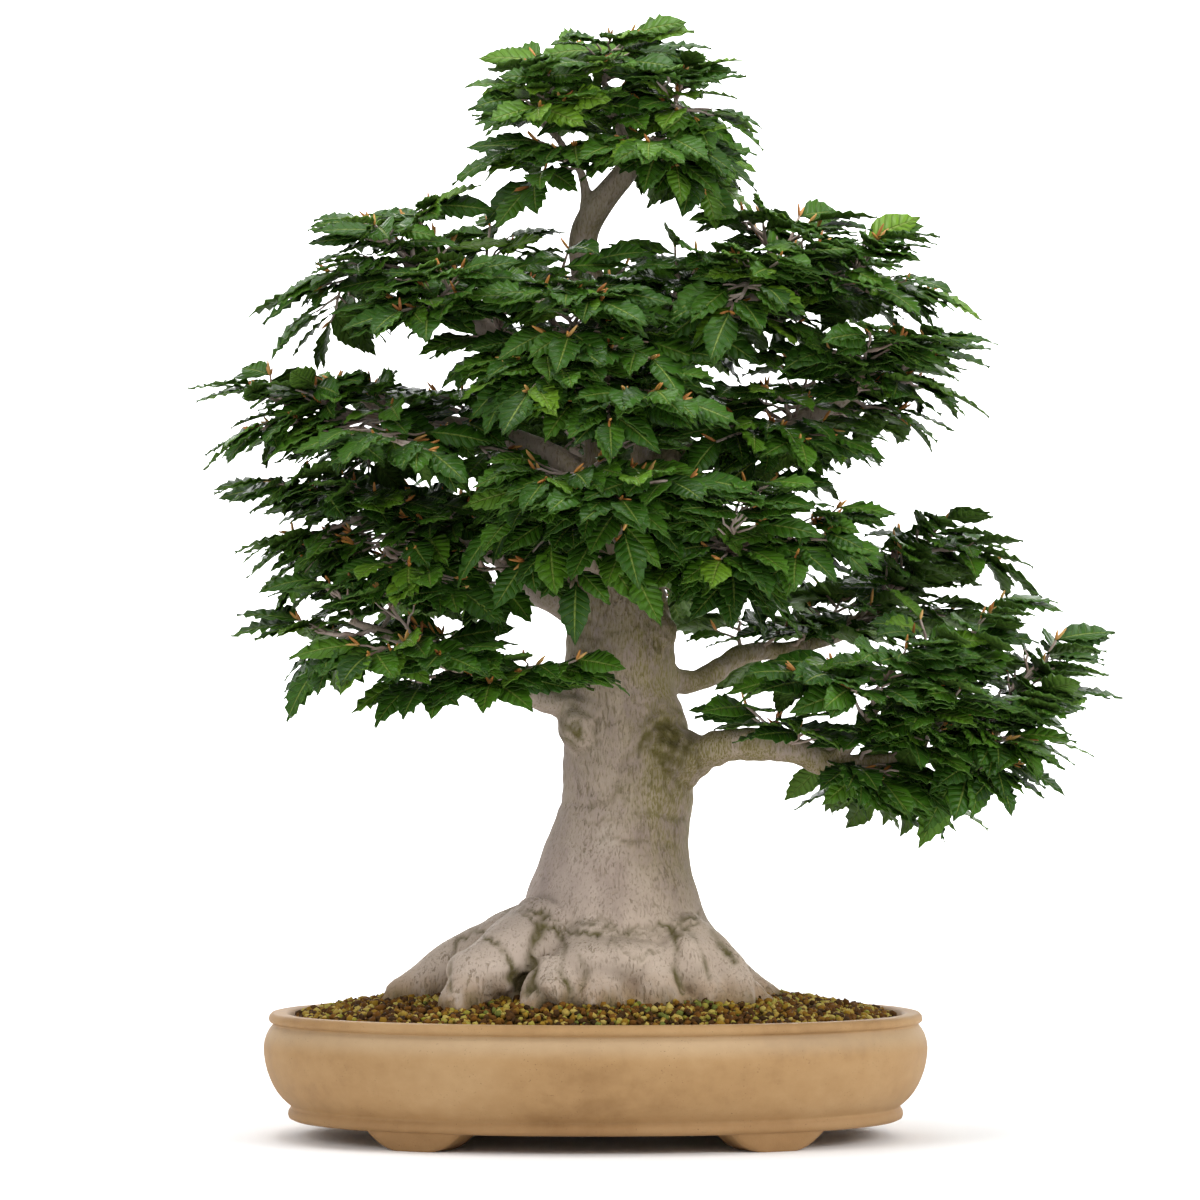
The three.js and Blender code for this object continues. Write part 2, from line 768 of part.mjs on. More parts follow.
// A stem with the leaves that stand on it, as one sheet: thick along the stem, thin in the leaves.
// Each leaf is { place, side, leaf, twig }; side is 1 on the right, -1 on the left, and 0 at the tip.
function spraySheet(stem, thick, leaves) {
  const corners = [];
  const stretch = 1000;
  function frameAt(place) {
    const ahead = stem.getTangent(place);
    const left = new THREE.Vector3().crossVectors(UP, ahead).normalize();
    const face = new THREE.Vector3().crossVectors(ahead, left);
    return { point: stem.getPoint(place), ahead, left, face };
  }
  function ribCorner(place, side, shift, lead = 0) {
    const { point, ahead, left, face } = frameAt(place);
    const half = mix(thick, 0.9, place);
    point.addScaledVector(left, -side * half).addScaledVector(ahead, shift);
    const bow = 6 + 0.2 * ((corners.length * corners.length) % 7);
    const flat = [place * stretch + shift * 6 + lead, -side * bow];
    corners.push({ flat, at: point, face, thick: 2 * half });
  }
  function leafCorners({ place, side, leaf, twig }) {
    const middle = place * stretch + (side === 0 ? END_LEAD / 2 : 0);
    const turn = side === 0 ? -1 : side;
    const out = (along, across) => [middle + turn * across * 9, -turn * (14 + 80 * along)];
    if (twig) {
      const heading = twig.end.clone().sub(twig.start).normalize();
      const left = new THREE.Vector3().crossVectors(UP, heading).normalize();
      const face = new THREE.Vector3().crossVectors(heading, left);
      for (const across of [-1, 1]) {
        twig[across] = {
          flat: out(0.02, across * 0.4),
          at: twig.end.clone().addScaledVector(left, across * TWIG_HALF),
          face,
          thick: 2 * TWIG_HALF,
        };
      }
      corners.push(twig[-1]);
    }
    const corner = (along, across) => ({
      flat: out(along, across),
      at: leafPoint(leaf, along, across),
      face: leaf.face,
      thick: BLADE,
    });
    for (const [along, across] of SIDE_A) corners.push(corner(along, -across));
    corners.push(corner(1, 0));
    for (const [along, across] of SIDE_B.toReversed()) corners.push(corner(along, across));
    if (twig) corners.push(twig[1]);
  }
  const onSide = (side) => leaves.filter((entry) => entry.side === side).sort((a, b) => a.place - b.place);
  ribCorner(0, 1, 0);
  for (const entry of onSide(1)) {
    ribCorner(entry.place, 1, -1.3);
    leafCorners(entry);
    ribCorner(entry.place, 1, 1.3);
  }
  ribCorner(1, 1, 0, END_LEAD);
  for (const entry of onSide(0)) leafCorners(entry);
  ribCorner(1, -1, 0);
  for (const entry of onSide(-1).toReversed()) {
    ribCorner(entry.place, -1, 1.3);
    leafCorners(entry);
    ribCorner(entry.place, -1, -1.3);
  }
  ribCorner(0, -1, 0);
  return sheetSolid(corners);
}

// What has been placed so far, with boxes for a quick first look.
const placed = [];

function boxOf(solid) {
  const { min, max } = solid.boundingBox();
  return new THREE.Box3(vector(min), vector(max)).expandByScalar(GAP);
}

function isClear(solid, owner, trunk) {
  const box = boxOf(solid);
  for (const other of placed) {
    if (other.owner === owner && !other.blade) continue;
    if (!box.intersectsBox(other.box)) continue;
    if (solid.minGap(other.solid, GAP) < GAP * 0.95) return false;
  }
  return trunk === null || solid.minGap(trunk, GAP) >= GAP * 0.95;
}

function place(solid, owner, blade) {
  placed.push({ solid, owner, blade, box: boxOf(solid) });
}

// Finished branchlets, and whether a new one stays apart from them.
const finished = [];

function isApart(solid) {
  const box = boxOf(solid);
  return finished.every((other) => !box.intersectsBox(other.box) || solid.minGap(other.solid, GAP) > 0.1);
}

// Which way a leaf leaves its stem or twig, and which way its upper side looks.
function stanceOf(stem, { place, side }, twig) {
  const ahead = twig ? twig.end.clone().sub(twig.start).normalize() : stem.getTangent(place);
  const left = new THREE.Vector3().crossVectors(UP, ahead).normalize();
  const away = twig || side === 0 ? ahead : left.clone().multiplyScalar(-side);
  return { away, up: new THREE.Vector3().crossVectors(ahead, left) };
}

// How far a leaf must keep to its stance, so that the sheet doesn't pass through itself at its foot.
const LEAST_LEAN = 0.2;

// A leaf is turned a little until it clears its neighbours, or left out.
const TURNS = [[0, 0], [0.3, 0], [-0.3, 0], [0, 0.35], [0, -0.35], [0.5, 0.3], [-0.5, -0.3], [0.6, -0.5]];

function clearLeaf(leaf, stance, owner, trunk) {
  for (const [tilt, swing] of TURNS) {
    const turned = { ...leaf };
    turned.along = leaf.along.clone().applyAxisAngle(leaf.face, swing);
    const across = new THREE.Vector3().crossVectors(leaf.face, turned.along);
    turned.along.applyAxisAngle(across, tilt);
    turned.face = leaf.face.clone().applyAxisAngle(across, tilt);
    if (turned.along.dot(stance.away) < LEAST_LEAN) continue;
    if (turned.face.dot(stance.up) < LEAST_LEAN) continue;
    const solid = bladeSolid(turned);
    if (solid && isClear(solid, owner, trunk)) {
      place(solid, owner, true);
      return turned;
    }
  }
  return null;
}

// How far along its limb a stem may be moved, and how much of it must stay in one body.
const START_SHIFTS = [0, -0.06, 0.06, -0.12, 0.12, -0.18];
const KEPT_SHARE = 0.97;

// The ways a stem may be bent aside to clear its neighbours, nearest first.
function bends(stem) {
  const ways = [stem];
  for (const reach of [8, 16, 24]) {
    for (let turn = 0; turn < 6; turn += 1) {
      const angle = (turn * Math.PI) / 3;
      const aside = new THREE.Vector3(Math.cos(angle), 0.6 * Math.sin(angle), Math.sin(angle));
      aside.multiplyScalar(reach);
      const middle = stem.v1.clone().add(aside);
      const end = stem.v2.clone().addScaledVector(aside, 0.5);
      ways.push(new THREE.QuadraticBezierCurve3(stem.v0, middle, end));
    }
  }
  return ways;
}

// The leaves that a stem carries here: its end leaf, then some of its twigs and side leaves in turn.
function chooseLeaves(spray, stem, name, trunk, wanted) {
  const candidates = [spray.leaves.at(-1)];
  const twigs = spray.twigs.map((twig) => {
    const { place, side } = twig;
    return { ...twig.leaves.at(-1), place, side, twig };
  });
  for (let k = 0; k < twigs.length; k += 1) {
    candidates.push(twigs[(k * 2 + 1) % twigs.length]);
    if (k < spray.leaves.length - 1) candidates.push(spray.leaves[k]);
  }
  const entries = [];
  for (const leaf of new Set(candidates)) {
    if (entries.length === wanted) break;
    const near = (entry) => entry.side === leaf.side && Math.abs(entry.place - leaf.place) < 0.03;
    if (entries.some(near)) continue;
    const shift = stem.getPoint(leaf.place).sub(spray.stem.getPoint(leaf.place));
    const moved = { ...leaf, base: leaf.base.clone().add(shift) };
    let twig = null;
    let twigSolid = null;
    if (leaf.twig) {
      twig = { start: stem.getPoint(leaf.place), end: leaf.twig.end.clone().add(shift) };
      twigSolid = tube(new THREE.LineCurve3(twig.start, twig.end), taper(1.5, 1), 3, 1);
      if (!isClear(twigSolid, name, trunk)) continue;
    }
    const turned = clearLeaf(moved, stanceOf(stem, leaf, twig), name, trunk);
    if (!turned) continue;
    if (twig) place(twigSolid, name, false);
    entries.push({ place: leaf.place, side: leaf.side, leaf: turned, twig });
  }
  return entries;
}

// A sheet with the branchlet's others, if together they stay one body outside the trunk's room
// and apart from the branchlets that are finished.
function joined(others, sheet, trunkRoom, thinnest) {
  if (!sheet) return null;
  const outside = (others ? others.add(sheet) : sheet).subtract(trunkRoom);
  const body = largestBody(outside.simplify(WELD));
  const inOne = body.volume() > KEPT_SHARE * outside.volume();
  return inOne && isSound(body, thinnest) && isApart(body) ? body : null;
}

// The first way of bending a stem that keeps all its leaves clear, or else the one that keeps most.
// A stem may also start a little further along its limb.
function fitStem(others, spray, curve, from, tip, thick, name, trunk, trunkRoom, thinnest) {
  let best = null;
  const mark = placed.length;
  const ways = [];
  for (const shift of START_SHIFTS) {
    const start = THREE.MathUtils.clamp(from + shift, 0.08, 0.95);
    ways.push(...bends(growStem(curve, start, tip)));
  }
  for (const stem of ways) {
    const wood = tube(stem, taper(thick * 1.3, 1.2), 4, 4);
    if (!isClear(wood, name, null)) continue;
    const entries = chooseLeaves(spray, stem, name, trunk, LEAVES_PER_TIP);
    let whole = null;
    while (!whole && entries.length > 0) {
      whole = joined(others, spraySheet(stem, thick, entries), trunkRoom, thinnest);
      if (!whole) entries.pop();
    }
    if (whole && (!best || entries.length > best.count)) {
      best = { stem, whole, wood, count: entries.length, added: placed.slice(mark) };
    }
    placed.length = mark;
    if (best && best.count === LEAVES_PER_TIP) break;
  }
  if (best) {
    placed.push(...best.added);
    place(best.wood, name, false);
  }
  return best;
}

// One branchlet: its stems with their leaves, trimmed where it meets its limb.
function makeSpray(name, curve, tips, taken, trunk, trunkRoom) {
  const mainStart = startPlace(curve, tips[0], 0.12, taken);
  const main = growStem(curve, mainStart, tips[0]);
  const forked = [];
  let whole = null;
  let first = null;
  tips.forEach((tip, order) => {
    const from = order === 0 ? mainStart : startPlace(main, tip, 0.4, forked);
    const spray = growSpray(order === 0 ? main : growStem(main, from, tip));
    const thick = THREE.MathUtils.clamp(spray.length * 0.02, 1.8, 3.2);
    let made = null;
    for (const thinnest of THINNEST) {
      const parent = first ?? curve;
      made ??= fitStem(whole, spray, parent, from, tip, thick, name, trunk, trunkRoom, thinnest);
    }
    if (!made) throw new Error(`${name} has no clear way to tip ${order + 1}`);
    first ??= made.stem;
    whole = made.whole;
  });
  finished.push({ solid: whole, box: boxOf(whole) });
  return whole;
}

// Finishes
const stoneware = new THREE.MeshStandardMaterial({ color: 0xc4a878, roughness: 0.75, metalness: 0 });
const earth = new THREE.MeshStandardMaterial({ color: 0x6b4a2a, roughness: 1, metalness: 0 });
const bark = new THREE.MeshStandardMaterial({ color: 0xb5a595, roughness: 0.85, metalness: 0 });
const foliage = new THREE.MeshStandardMaterial({ color: 0x2f6a24, roughness: 0.45, metalness: 0 });
const plastic = new THREE.MeshStandardMaterial({ color: 0x26332b, roughness: 0.6, metalness: 0 });

const tree = new THREE.Group();

function addPiece(name, solid, material) {
  const mesh = new THREE.Mesh(geometryOf(solid), material);
  mesh.name = name;
  tree.add(mesh);
}

const trunk = makeTrunk();
const trunkRoom = makeTrunk(GAP);
addPiece("pot", makePot(), stoneware);
addPiece("soil", makeSoil(trunkRoom), earth);
addPiece("trunk", trunk, bark);
addPiece("drain_mesh_left", makeDrainMesh(-DRAIN_X), plastic);
addPiece("drain_mesh_right", makeDrainMesh(DRAIN_X), plastic);
for (const [limbName, limb] of Object.entries(LIMBS)) {
  const curve = smoothCurve(limb.route);
  const taken = [];
  limb.branchlets.forEach((tips, order) => {
    const name = `spray_${limbName}_${order + 1}`;
    const made = makeSpray(name, curve, tips, taken, trunk, trunkRoom);
    addPiece(name, made, foliage);
  });
}

const outline = new THREE.Box3().setFromObject(tree);
const middle = outline.getCenter(new THREE.Vector3());
tree.position.set(-middle.x, -middle.y, -outline.min.z);

export default tree;
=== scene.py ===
# %% [markdown]
# # A Japanese beech bonsai in its oval pot
# The tree stands about 84 cm high in its pot. A thick trunk with a wide root crown carries bare grey
# limbs, and the limbs carry flat pads of toothed leaves. The soil is granular and the pot is low.
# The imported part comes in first, as a fixed frame. Everything below is made in millimetres about
# the middle of the pot, as a grower would measure it, and is put in its place at the very end.

# %% The frame
import math

import bmesh
import bpy
import numpy as np
from mathutils import Matrix, Vector


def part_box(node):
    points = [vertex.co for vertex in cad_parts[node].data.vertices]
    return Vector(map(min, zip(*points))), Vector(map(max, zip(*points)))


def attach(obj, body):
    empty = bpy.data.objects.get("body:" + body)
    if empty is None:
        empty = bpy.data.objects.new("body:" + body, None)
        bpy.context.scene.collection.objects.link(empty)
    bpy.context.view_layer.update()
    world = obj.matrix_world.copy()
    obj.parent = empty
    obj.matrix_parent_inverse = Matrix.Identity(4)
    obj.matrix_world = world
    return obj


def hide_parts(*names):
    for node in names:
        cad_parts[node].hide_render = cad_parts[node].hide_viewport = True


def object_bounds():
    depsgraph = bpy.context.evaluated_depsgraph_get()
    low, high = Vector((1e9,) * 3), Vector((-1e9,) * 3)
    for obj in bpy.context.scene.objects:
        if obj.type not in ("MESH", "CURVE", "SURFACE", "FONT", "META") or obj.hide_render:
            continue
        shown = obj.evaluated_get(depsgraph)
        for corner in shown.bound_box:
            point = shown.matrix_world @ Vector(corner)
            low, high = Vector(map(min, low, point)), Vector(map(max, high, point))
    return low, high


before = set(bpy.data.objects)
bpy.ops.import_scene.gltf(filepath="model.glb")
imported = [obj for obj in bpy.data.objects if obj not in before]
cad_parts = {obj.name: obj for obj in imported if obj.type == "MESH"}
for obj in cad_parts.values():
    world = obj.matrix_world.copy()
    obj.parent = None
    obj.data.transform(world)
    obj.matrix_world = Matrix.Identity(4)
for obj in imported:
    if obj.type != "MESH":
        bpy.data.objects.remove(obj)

cad_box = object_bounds()
pot_low, pot_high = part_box("pot")
PLACE = Matrix.Translation(((pot_low.x + pot_high.x) / 2, (pot_low.y + pot_high.y) / 2, 0))
MILLIMETRE = 0.001
PLACE = PLACE @ Matrix.Scale(MILLIMETRE, 4)
print("the part's box:", [round(v, 3) for corner in cad_box for v in corner])

# %% [markdown]
# ## Helpers for pieces
# A piece is a mesh that is finished first and placed once. Its object stays at the origin, so that a
# pattern on Object coordinates keeps its place. Seeded draws give the same tree on every run.

# %% Piece helpers
UP = Vector((0, 0, 1))
chance = np.random.default_rng(20251)


def mesh_from(bm, name):
    """Turns a bmesh into a mesh with its faces outwards."""
    bmesh.ops.recalc_face_normals(bm, faces=bm.faces)
    mesh = bpy.data.meshes.new(name)
    bm.to_mesh(mesh)
    bm.free()
    return mesh


def add_piece(name, mesh, material, slot, *nodes):
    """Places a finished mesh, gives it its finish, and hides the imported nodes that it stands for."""
    mesh.transform(PLACE)
    mesh.shade_smooth()
    piece = bpy.data.objects.new(name, mesh)
    bpy.context.scene.collection.objects.link(piece)
    mesh.materials.clear()
    mesh.materials.append(material)
    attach(piece, "root")
    if nodes:
        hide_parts(*nodes)
    return piece


def triangles(mesh):
    """How many triangles a mesh has once its faces are cut."""
    return sum(len(face.vertices) - 2 for face in mesh.polygons)


def shaped(mesh, *modifiers):
    """The mesh after some modifiers, each given as its type and its settings."""
    stand = bpy.data.objects.new("stand", mesh)
    bpy.context.scene.collection.objects.link(stand)
    for kind, settings in modifiers:
        modifier = stand.modifiers.new(kind, kind)
        for key, value in settings.items():
            setattr(modifier, key, value)
    graph = bpy.context.evaluated_depsgraph_get()
    graph.update()
    made = bpy.data.meshes.new_from_object(stand.evaluated_get(graph))
    bpy.data.objects.remove(stand)
    return made


def places_of(mesh):
    """The vertices of a mesh as rows of x, y and z."""
    spots = np.empty(len(mesh.vertices) * 3, np.float32)
    mesh.vertices.foreach_get("co", spots)
    return spots.reshape(-1, 3)


def move_to(mesh, spots):
    """Puts the vertices of a mesh at new places."""
    mesh.vertices.foreach_set("co", np.ascontiguousarray(spots, np.float32).ravel())
    mesh.update()


def paint(mesh, name, values):
    """Keeps one number at each vertex, for a material to read."""
    layer = mesh.attributes.new(name, "FLOAT", "POINT")
    layer.data.foreach_set("value", np.ascontiguousarray(values, np.float32).ravel())


def copies(template, spots, name):
    """Many copies of a small mesh: spots holds each copy's vertices, in the template's order."""
    faces = np.array([list(face.vertices) for face in template.polygons])
    count, size = spots.shape[:2]
    rows = faces[None] + (np.arange(count) * size)[:, None, None]
    mesh = bpy.data.meshes.new(name)
    mesh.from_pydata(spots.reshape(-1, 3).tolist(), [], rows.reshape(-1, faces.shape[1]).tolist())
    return mesh


# %% [markdown]
# ## Helpers for finishes
# A finish is a node material. `Number` wraps a socket, so that shader maths reads as plain sums,
# and each sum adds its Math node. `Finish` starts a material and adds every other kind of node.

# %% Finish helpers
class Number:
    """A varying number in a material."""

    def __init__(self, finish, socket):
        self.finish = finish
        self.socket = socket

    def sum(self, operation, *others):
        return self.finish.maths(operation, self, *others)

    def __add__(self, other):
        return self.sum("ADD", other)

    def __radd__(self, other):
        return self.sum("ADD", other)

    def __sub__(self, other):
        return self.sum("SUBTRACT", other)

    def __rsub__(self, other):
        return self.finish.maths("SUBTRACT", other, self)

    def __mul__(self, other):
        return self.sum("MULTIPLY", other)

    def __rmul__(self, other):
        return self.sum("MULTIPLY", other)

    def __abs__(self):
        return self.sum("ABSOLUTE")

    def clamped(self):
        return self.sum("MAXIMUM", 0).sum("MINIMUM", 1)


class Finish:
    """A material in the making."""

    def __init__(self, name, **constants):
        self.material = bpy.data.materials.new(name)
        self.material.use_nodes = True
        self.tree = self.material.node_tree
        self.shader = self.tree.nodes["Principled BSDF"]
        for key, value in constants.items():
            self.shader.inputs[key.replace("_", " ")].default_value = value

    def join(self, value, socket):
        if isinstance(value, Number):
            value = value.socket
        if isinstance(value, bpy.types.NodeSocket):
            self.tree.links.new(value, socket)
        else:
            socket.default_value = value

    def node(self, kind, settings=None, **inputs):
        """Adds a node: its settings first, then its inputs, each a value or a link."""
        node = self.tree.nodes.new("ShaderNode" + kind)
        for key, value in (settings or {}).items():
            if key == "stops":
                self.set_stops(node.color_ramp, value)
            else:
                setattr(node, key, value)
        for key, value in inputs.items():
            key = int(key[1:]) if key[0] == "i" and key[1:].isdigit() else key.replace("_", " ")
            self.join(value, node.inputs[key])
        return node

    def set_stops(self, ramp, stops):
        while len(ramp.elements) < len(stops):
            ramp.elements.new(0.5)
        for element, (place, colour) in zip(ramp.elements, stops):
            element.position = place
            element.color = (*colour, 1)

    def maths(self, operation, *values):
        inputs = {f"i{k}": value for k, value in enumerate(values)}
        return Number(self, self.node("Math", {"operation": operation}, **inputs).outputs[0])

    def attribute(self, name):
        return Number(self, self.node("Attribute", {"attribute_name": name}).outputs["Fac"])

    def grain(self, scale, detail=4.0, stretch=(1, 1, 1), roughness=0.55):
        """A noise over the object, scale to the metre, stretched along its axes."""
        where = self.node("TexCoord").outputs["Object"]
        where = self.node("Mapping", Vector=where, Scale=stretch).outputs["Vector"]
        made = self.node("TexNoise", Vector=where, Scale=scale, Detail=detail, Roughness=roughness)
        return Number(self, made.outputs["Fac"])

    def step(self, value, low, high):
        """0 below low, 1 above high, and smooth between. low may be the larger."""
        made = self.node("MapRange", {"interpolation_type": "SMOOTHSTEP"}, Value=value,
                         From_Min=low, From_Max=high)
        return Number(self, made.outputs[0])

    def ramp(self, value, *stops):
        return self.node("ValToRGB", {"stops": stops}, Fac=value).outputs[0]

    def blend(self, below, colour, share):
        """A plain colour laid over another: the share is 0 for none of it and 1 for nothing else."""
        return self.node("Mix", {"data_type": "RGBA"}, i0=share, i6=below, i7=(*colour, 1)).outputs[2]

    def raised(self, height, distance, strength=1.0):
        """Relief from a height between 0 and 1, distance in metres."""
        bump = self.node("Bump", Strength=strength, Distance=distance, Height=height)
        self.join(bump.outputs[0], self.shader.inputs["Normal"])

    def done(self, colour, roughness):
        self.join(colour, self.shader.inputs["Base Color"])
        self.join(roughness, self.shader.inputs["Roughness"])
        print(self.material.name, "has", len(self.tree.nodes), "nodes")


# %% [markdown]
# ## The camera
# The picture was taken from about three metres away, a little above the pot, with a long lens that
# looks slightly up. A flatter view than this would hide the soil, and a closer one would open the
# pot's rim too much.

# %% Camera
EYE = Vector((3.3, -3040, 267.5))
AIM = Vector((3.3, 0, 404.5))
lens = bpy.data.cameras.new("camera")
FIELD_OF_VIEW = 17.06
lens.angle = math.radians(FIELD_OF_VIEW)
lens.clip_start = 0.05
lens.clip_end = 60
camera = bpy.data.objects.new("camera", lens)
bpy.context.scene.collection.objects.link(camera)
camera.location = PLACE @ EYE
camera.rotation_euler = (AIM - EYE).to_track_quat("-Z", "Y").to_euler()
bpy.context.scene.camera = camera
print("camera at", [round(v, 3) for v in camera.location])

# %% [markdown]
# ## The floor
# A studio floor is one pale sheet that rises into a wall in a wide curve, so that no edge shows. Its
# section is a line that is extruded sideways, in metres. The wall stands far behind the tree, so
# that the tree can also be seen from behind.

# %% Floor and wall
HALF_FLOOR = 9
FLAT_TO = 5.6
CURVE = 1.4
WALL_TOP = 7
bm = bmesh.new()
sweep = [(-HALF_FLOOR, 0), (FLAT_TO, 0)]
for turn in np.linspace(0.1, math.pi / 2, 14):
    sweep.append((FLAT_TO + CURVE * math.sin(turn), CURVE - CURVE * math.cos(turn)))
sweep.append((FLAT_TO + CURVE, WALL_TOP))
line = [bm.verts.new((-HALF_FLOOR, y, z)) for y, z in sweep]
edges = [bm.edges.new(pair) for pair in zip(line, line[1:])]
wide = bmesh.ops.extrude_edge_only(bm, edges=edges)["geom"]
far_side = [part for part in wide if isinstance(part, bmesh.types.BMVert)]
bmesh.ops.translate(bm, verts=far_side, vec=(2 * HALF_FLOOR, 0, 0))
floor_mesh = bpy.data.meshes.new("floor")
bm.to_mesh(floor_mesh)
bm.free()
floor_mesh.shade_smooth()
floor = bpy.data.objects.new("floor", floor_mesh)
bpy.context.scene.collection.objects.link(floor)
pale = Finish("pale floor", Specular_IOR_Level=0.1)
pale.done((0.93, 0.93, 0.935, 1), 0.9)
floor_mesh.materials.append(pale.material)

# %% [markdown]
# ## The light
# Large soft lights stand at the left and right front and above, as in a product studio. The right
# one is the stronger, which shades the trunk's left side a little. One more lights only the wall.
# The standard view transform keeps the white of the paper-like background and the leaves' colour.

# %% Light
def soft_light(name, place, aim, size, watts):
    """An area light in metres and watts."""
    light = bpy.data.lights.new(name, "AREA")
    light.shape = "RECTANGLE"
    light.size, light.size_y = size
    light.energy = watts
    lamp = bpy.data.objects.new(name, light)
    bpy.context.scene.collection.objects.link(lamp)
    lamp.location = place
    lamp.rotation_euler = (Vector(aim) - Vector(place)).to_track_quat("-Z", "Y").to_euler()


soft_light("left softbox", (-2.5, -2.2, 1.9), (0, 0, 0.4), (1.3, 1.3), 24)
soft_light("right softbox", (2.6, -1.6, 1.7), (0, 0, 0.4), (1.3, 1.3), 50)
soft_light("top softbox", (0, -0.2, 2.6), (0, 0, 0.3), (1.8, 1.4), 46)
soft_light("wall light", (0, 4.6, 4.4), (0, 7.0, 1.4), (7.0, 1.2), 640)
bpy.context.scene.view_settings.view_transform = "Standard"
world = bpy.data.worlds.new("room")
bpy.context.scene.world = world
world.use_nodes = True
ROOM_LIGHT = 0.62
backdrop = world.node_tree.nodes["Background"]
backdrop.inputs["Color"].default_value = (1, 1, 1, 1)
backdrop.inputs["Strength"].default_value = ROOM_LIGHT
print(len(bpy.data.lights), "soft lights, and a room light of", ROOM_LIGHT)

# %% [markdown]
# ## The pot
# The pot is unglazed ochre stoneware, pressed in a mould: oval, with a rounded belly, a groove under
# a flat rim, a foot moulding and four bracket feet. A profile spun round the middle and then pressed
# to the oval gives the same even wall as the mould, so `spin` makes it.

# %% Pot profile
OVAL_INSET = 60
OUTER_PART = 200
INNER_RATIO = 0.7
OVAL_POWER = 2.2
FOOT_HEIGHT = 13
POT_PROFILE = [
    (0, 13), (120, 13), (200, 13), (222, 13), (228.6, 13.3), (231.3, 14.6), (232, 16.8), (231.7, 19.4),
    (230.5, 21.4), (229.6, 22.6), (230.3, 23.8), (233.2, 26.2), (236.8, 29.6), (240.4, 34), (243.4, 39),
    (245.9, 44.5), (247.9, 50), (249.4, 56), (250.3, 62), (250.5, 67), (249.9, 72), (248.4, 76.8),
    (246.4, 80.6), (244.4, 83.2), (243.5, 84.5), (243.9, 85.5), (245.4, 86), (246.4, 86.8),
    (246.7, 88.6), (246.2, 90.8), (244.7, 92.5), (242.4, 93), (236, 93), (233.4, 92.6), (231.6, 91.2),
    (230.9, 88), (229.6, 75), (228, 60), (222, 45), (212, 34), (200, 28), (188, 26), (100, 26), (0, 26),
]


def oval(half_length, angle):
    """The pot's plan: a point at a half length and an angle."""
    half_width = half_length - OVAL_INSET if half_length > OUTER_PART else half_length * INNER_RATIO
    c, s = math.cos(angle), math.sin(angle)
    power = 2 / OVAL_POWER
    return (half_length * math.copysign(abs(c) ** power, c),
            half_width * math.copysign(abs(s) ** power, s))


def pressed_oval(bm):
    """Presses what was spun round into the pot's oval."""
    for vert in bm.verts:
        x, y = oval(math.hypot(vert.co.x, vert.co.y), math.atan2(vert.co.y, vert.co.x))
        vert.co.x, vert.co.y = x, y


def turned(profile, steps, name):
    """A profile, as radius and height, spun round and pressed to the oval."""
    bm = bmesh.new()
    line = [bm.verts.new((radius, 0, z)) for radius, z in profile]
    edges = [bm.edges.new(pair) for pair in zip(line, line[1:])]
    bmesh.ops.spin(bm, geom=line + edges, cent=(0, 0, 0), axis=(0, 0, 1), angle=math.tau, steps=steps,
                   use_merge=True)
    bmesh.ops.remove_doubles(bm, verts=bm.verts, dist=0.01)
    pressed_oval(bm)
    return mesh_from(bm, name)


pot_mesh = turned(POT_PROFILE, 176, "pot")
print("pot wall:", triangles(pot_mesh), "triangles")

# %% [markdown]
# Each foot is a block that follows the oval for 76 mm and rounds in towards the floor like a shallow
# bowl, as a slab of clay does when it is cut with a wire. A subdivided cube is bent to that place.
# FOOT_WIDTHS gives its half width at each height, and `run` the length along the oval at each turn.

# %% Feet
FOOT_WIDTHS = [(-1, 14), (0, 16), (1, 20), (2.5, 24), (4.5, 27.5), (6.5, 30.5), (9, 33.5), (11, 36),
               (13, 38), (15, 39)]
FOOT_MIDDLE = (135, 146)
FOOT_REACH = 214
FOOT_HALF_DEPTH = 13
turns = np.linspace(0, math.tau, 2881)
foot_line = np.array([oval(229, turn) for turn in turns])
run = np.concatenate([[0], np.cumsum(np.linalg.norm(np.diff(foot_line, axis=0), axis=1))])


def foot_mesh(side_x, side_y):
    """One foot: across, deep and high are places in the cube, before it is bent to the oval."""
    bm = bmesh.new()
    bmesh.ops.create_cube(bm, size=2)
    bmesh.ops.subdivide_edges(bm, edges=bm.edges, cuts=15, use_grid_fill=True)
    off = foot_line - np.array((side_x * FOOT_MIDDLE[0], side_y * FOOT_MIDDLE[1]))
    middle = np.argmin(np.hypot(off[:, 0], off[:, 1]))
    for vert in bm.verts:
        across, deep, high = vert.co
        high = (high + 1) / 2 * (FOOT_HEIGHT + 1.5)
        width = np.interp(high, *zip(*FOOT_WIDTHS))
        reach = FOOT_REACH + FOOT_HALF_DEPTH * deep + 2.2 * (high / FOOT_HEIGHT) * (deep > 0)
        reach -= 1.6 * max(0, abs(across) - 0.82) / 0.18 * (deep > 0)
        angle = np.interp(run[middle] + across * width, run, turns)
        vert.co = (*oval(reach, angle), high)
    return mesh_from(bm, "foot")


# %% [markdown]
# A potter cuts the two drain holes while the clay is soft. A Boolean with two cylinders does it here,
# on the wall alone, and then the feet are joined to it.

# %% Drain holes
DRAIN_RADIUS = 13
DRAIN_OFFSET = 85
drills = bmesh.new()
for x in (-DRAIN_OFFSET, DRAIN_OFFSET):
    bmesh.ops.create_cone(drills, cap_ends=True, segments=48, radius1=DRAIN_RADIUS, radius2=DRAIN_RADIUS,
                          depth=60, matrix=Matrix.Translation((x, 0, 20)))
drill = bpy.data.objects.new("drill", mesh_from(drills, "drill"))
bpy.context.scene.collection.objects.link(drill)
drilled = shaped(pot_mesh, ("BOOLEAN", {"object": drill, "operation": "DIFFERENCE"}))
bpy.data.objects.remove(drill)

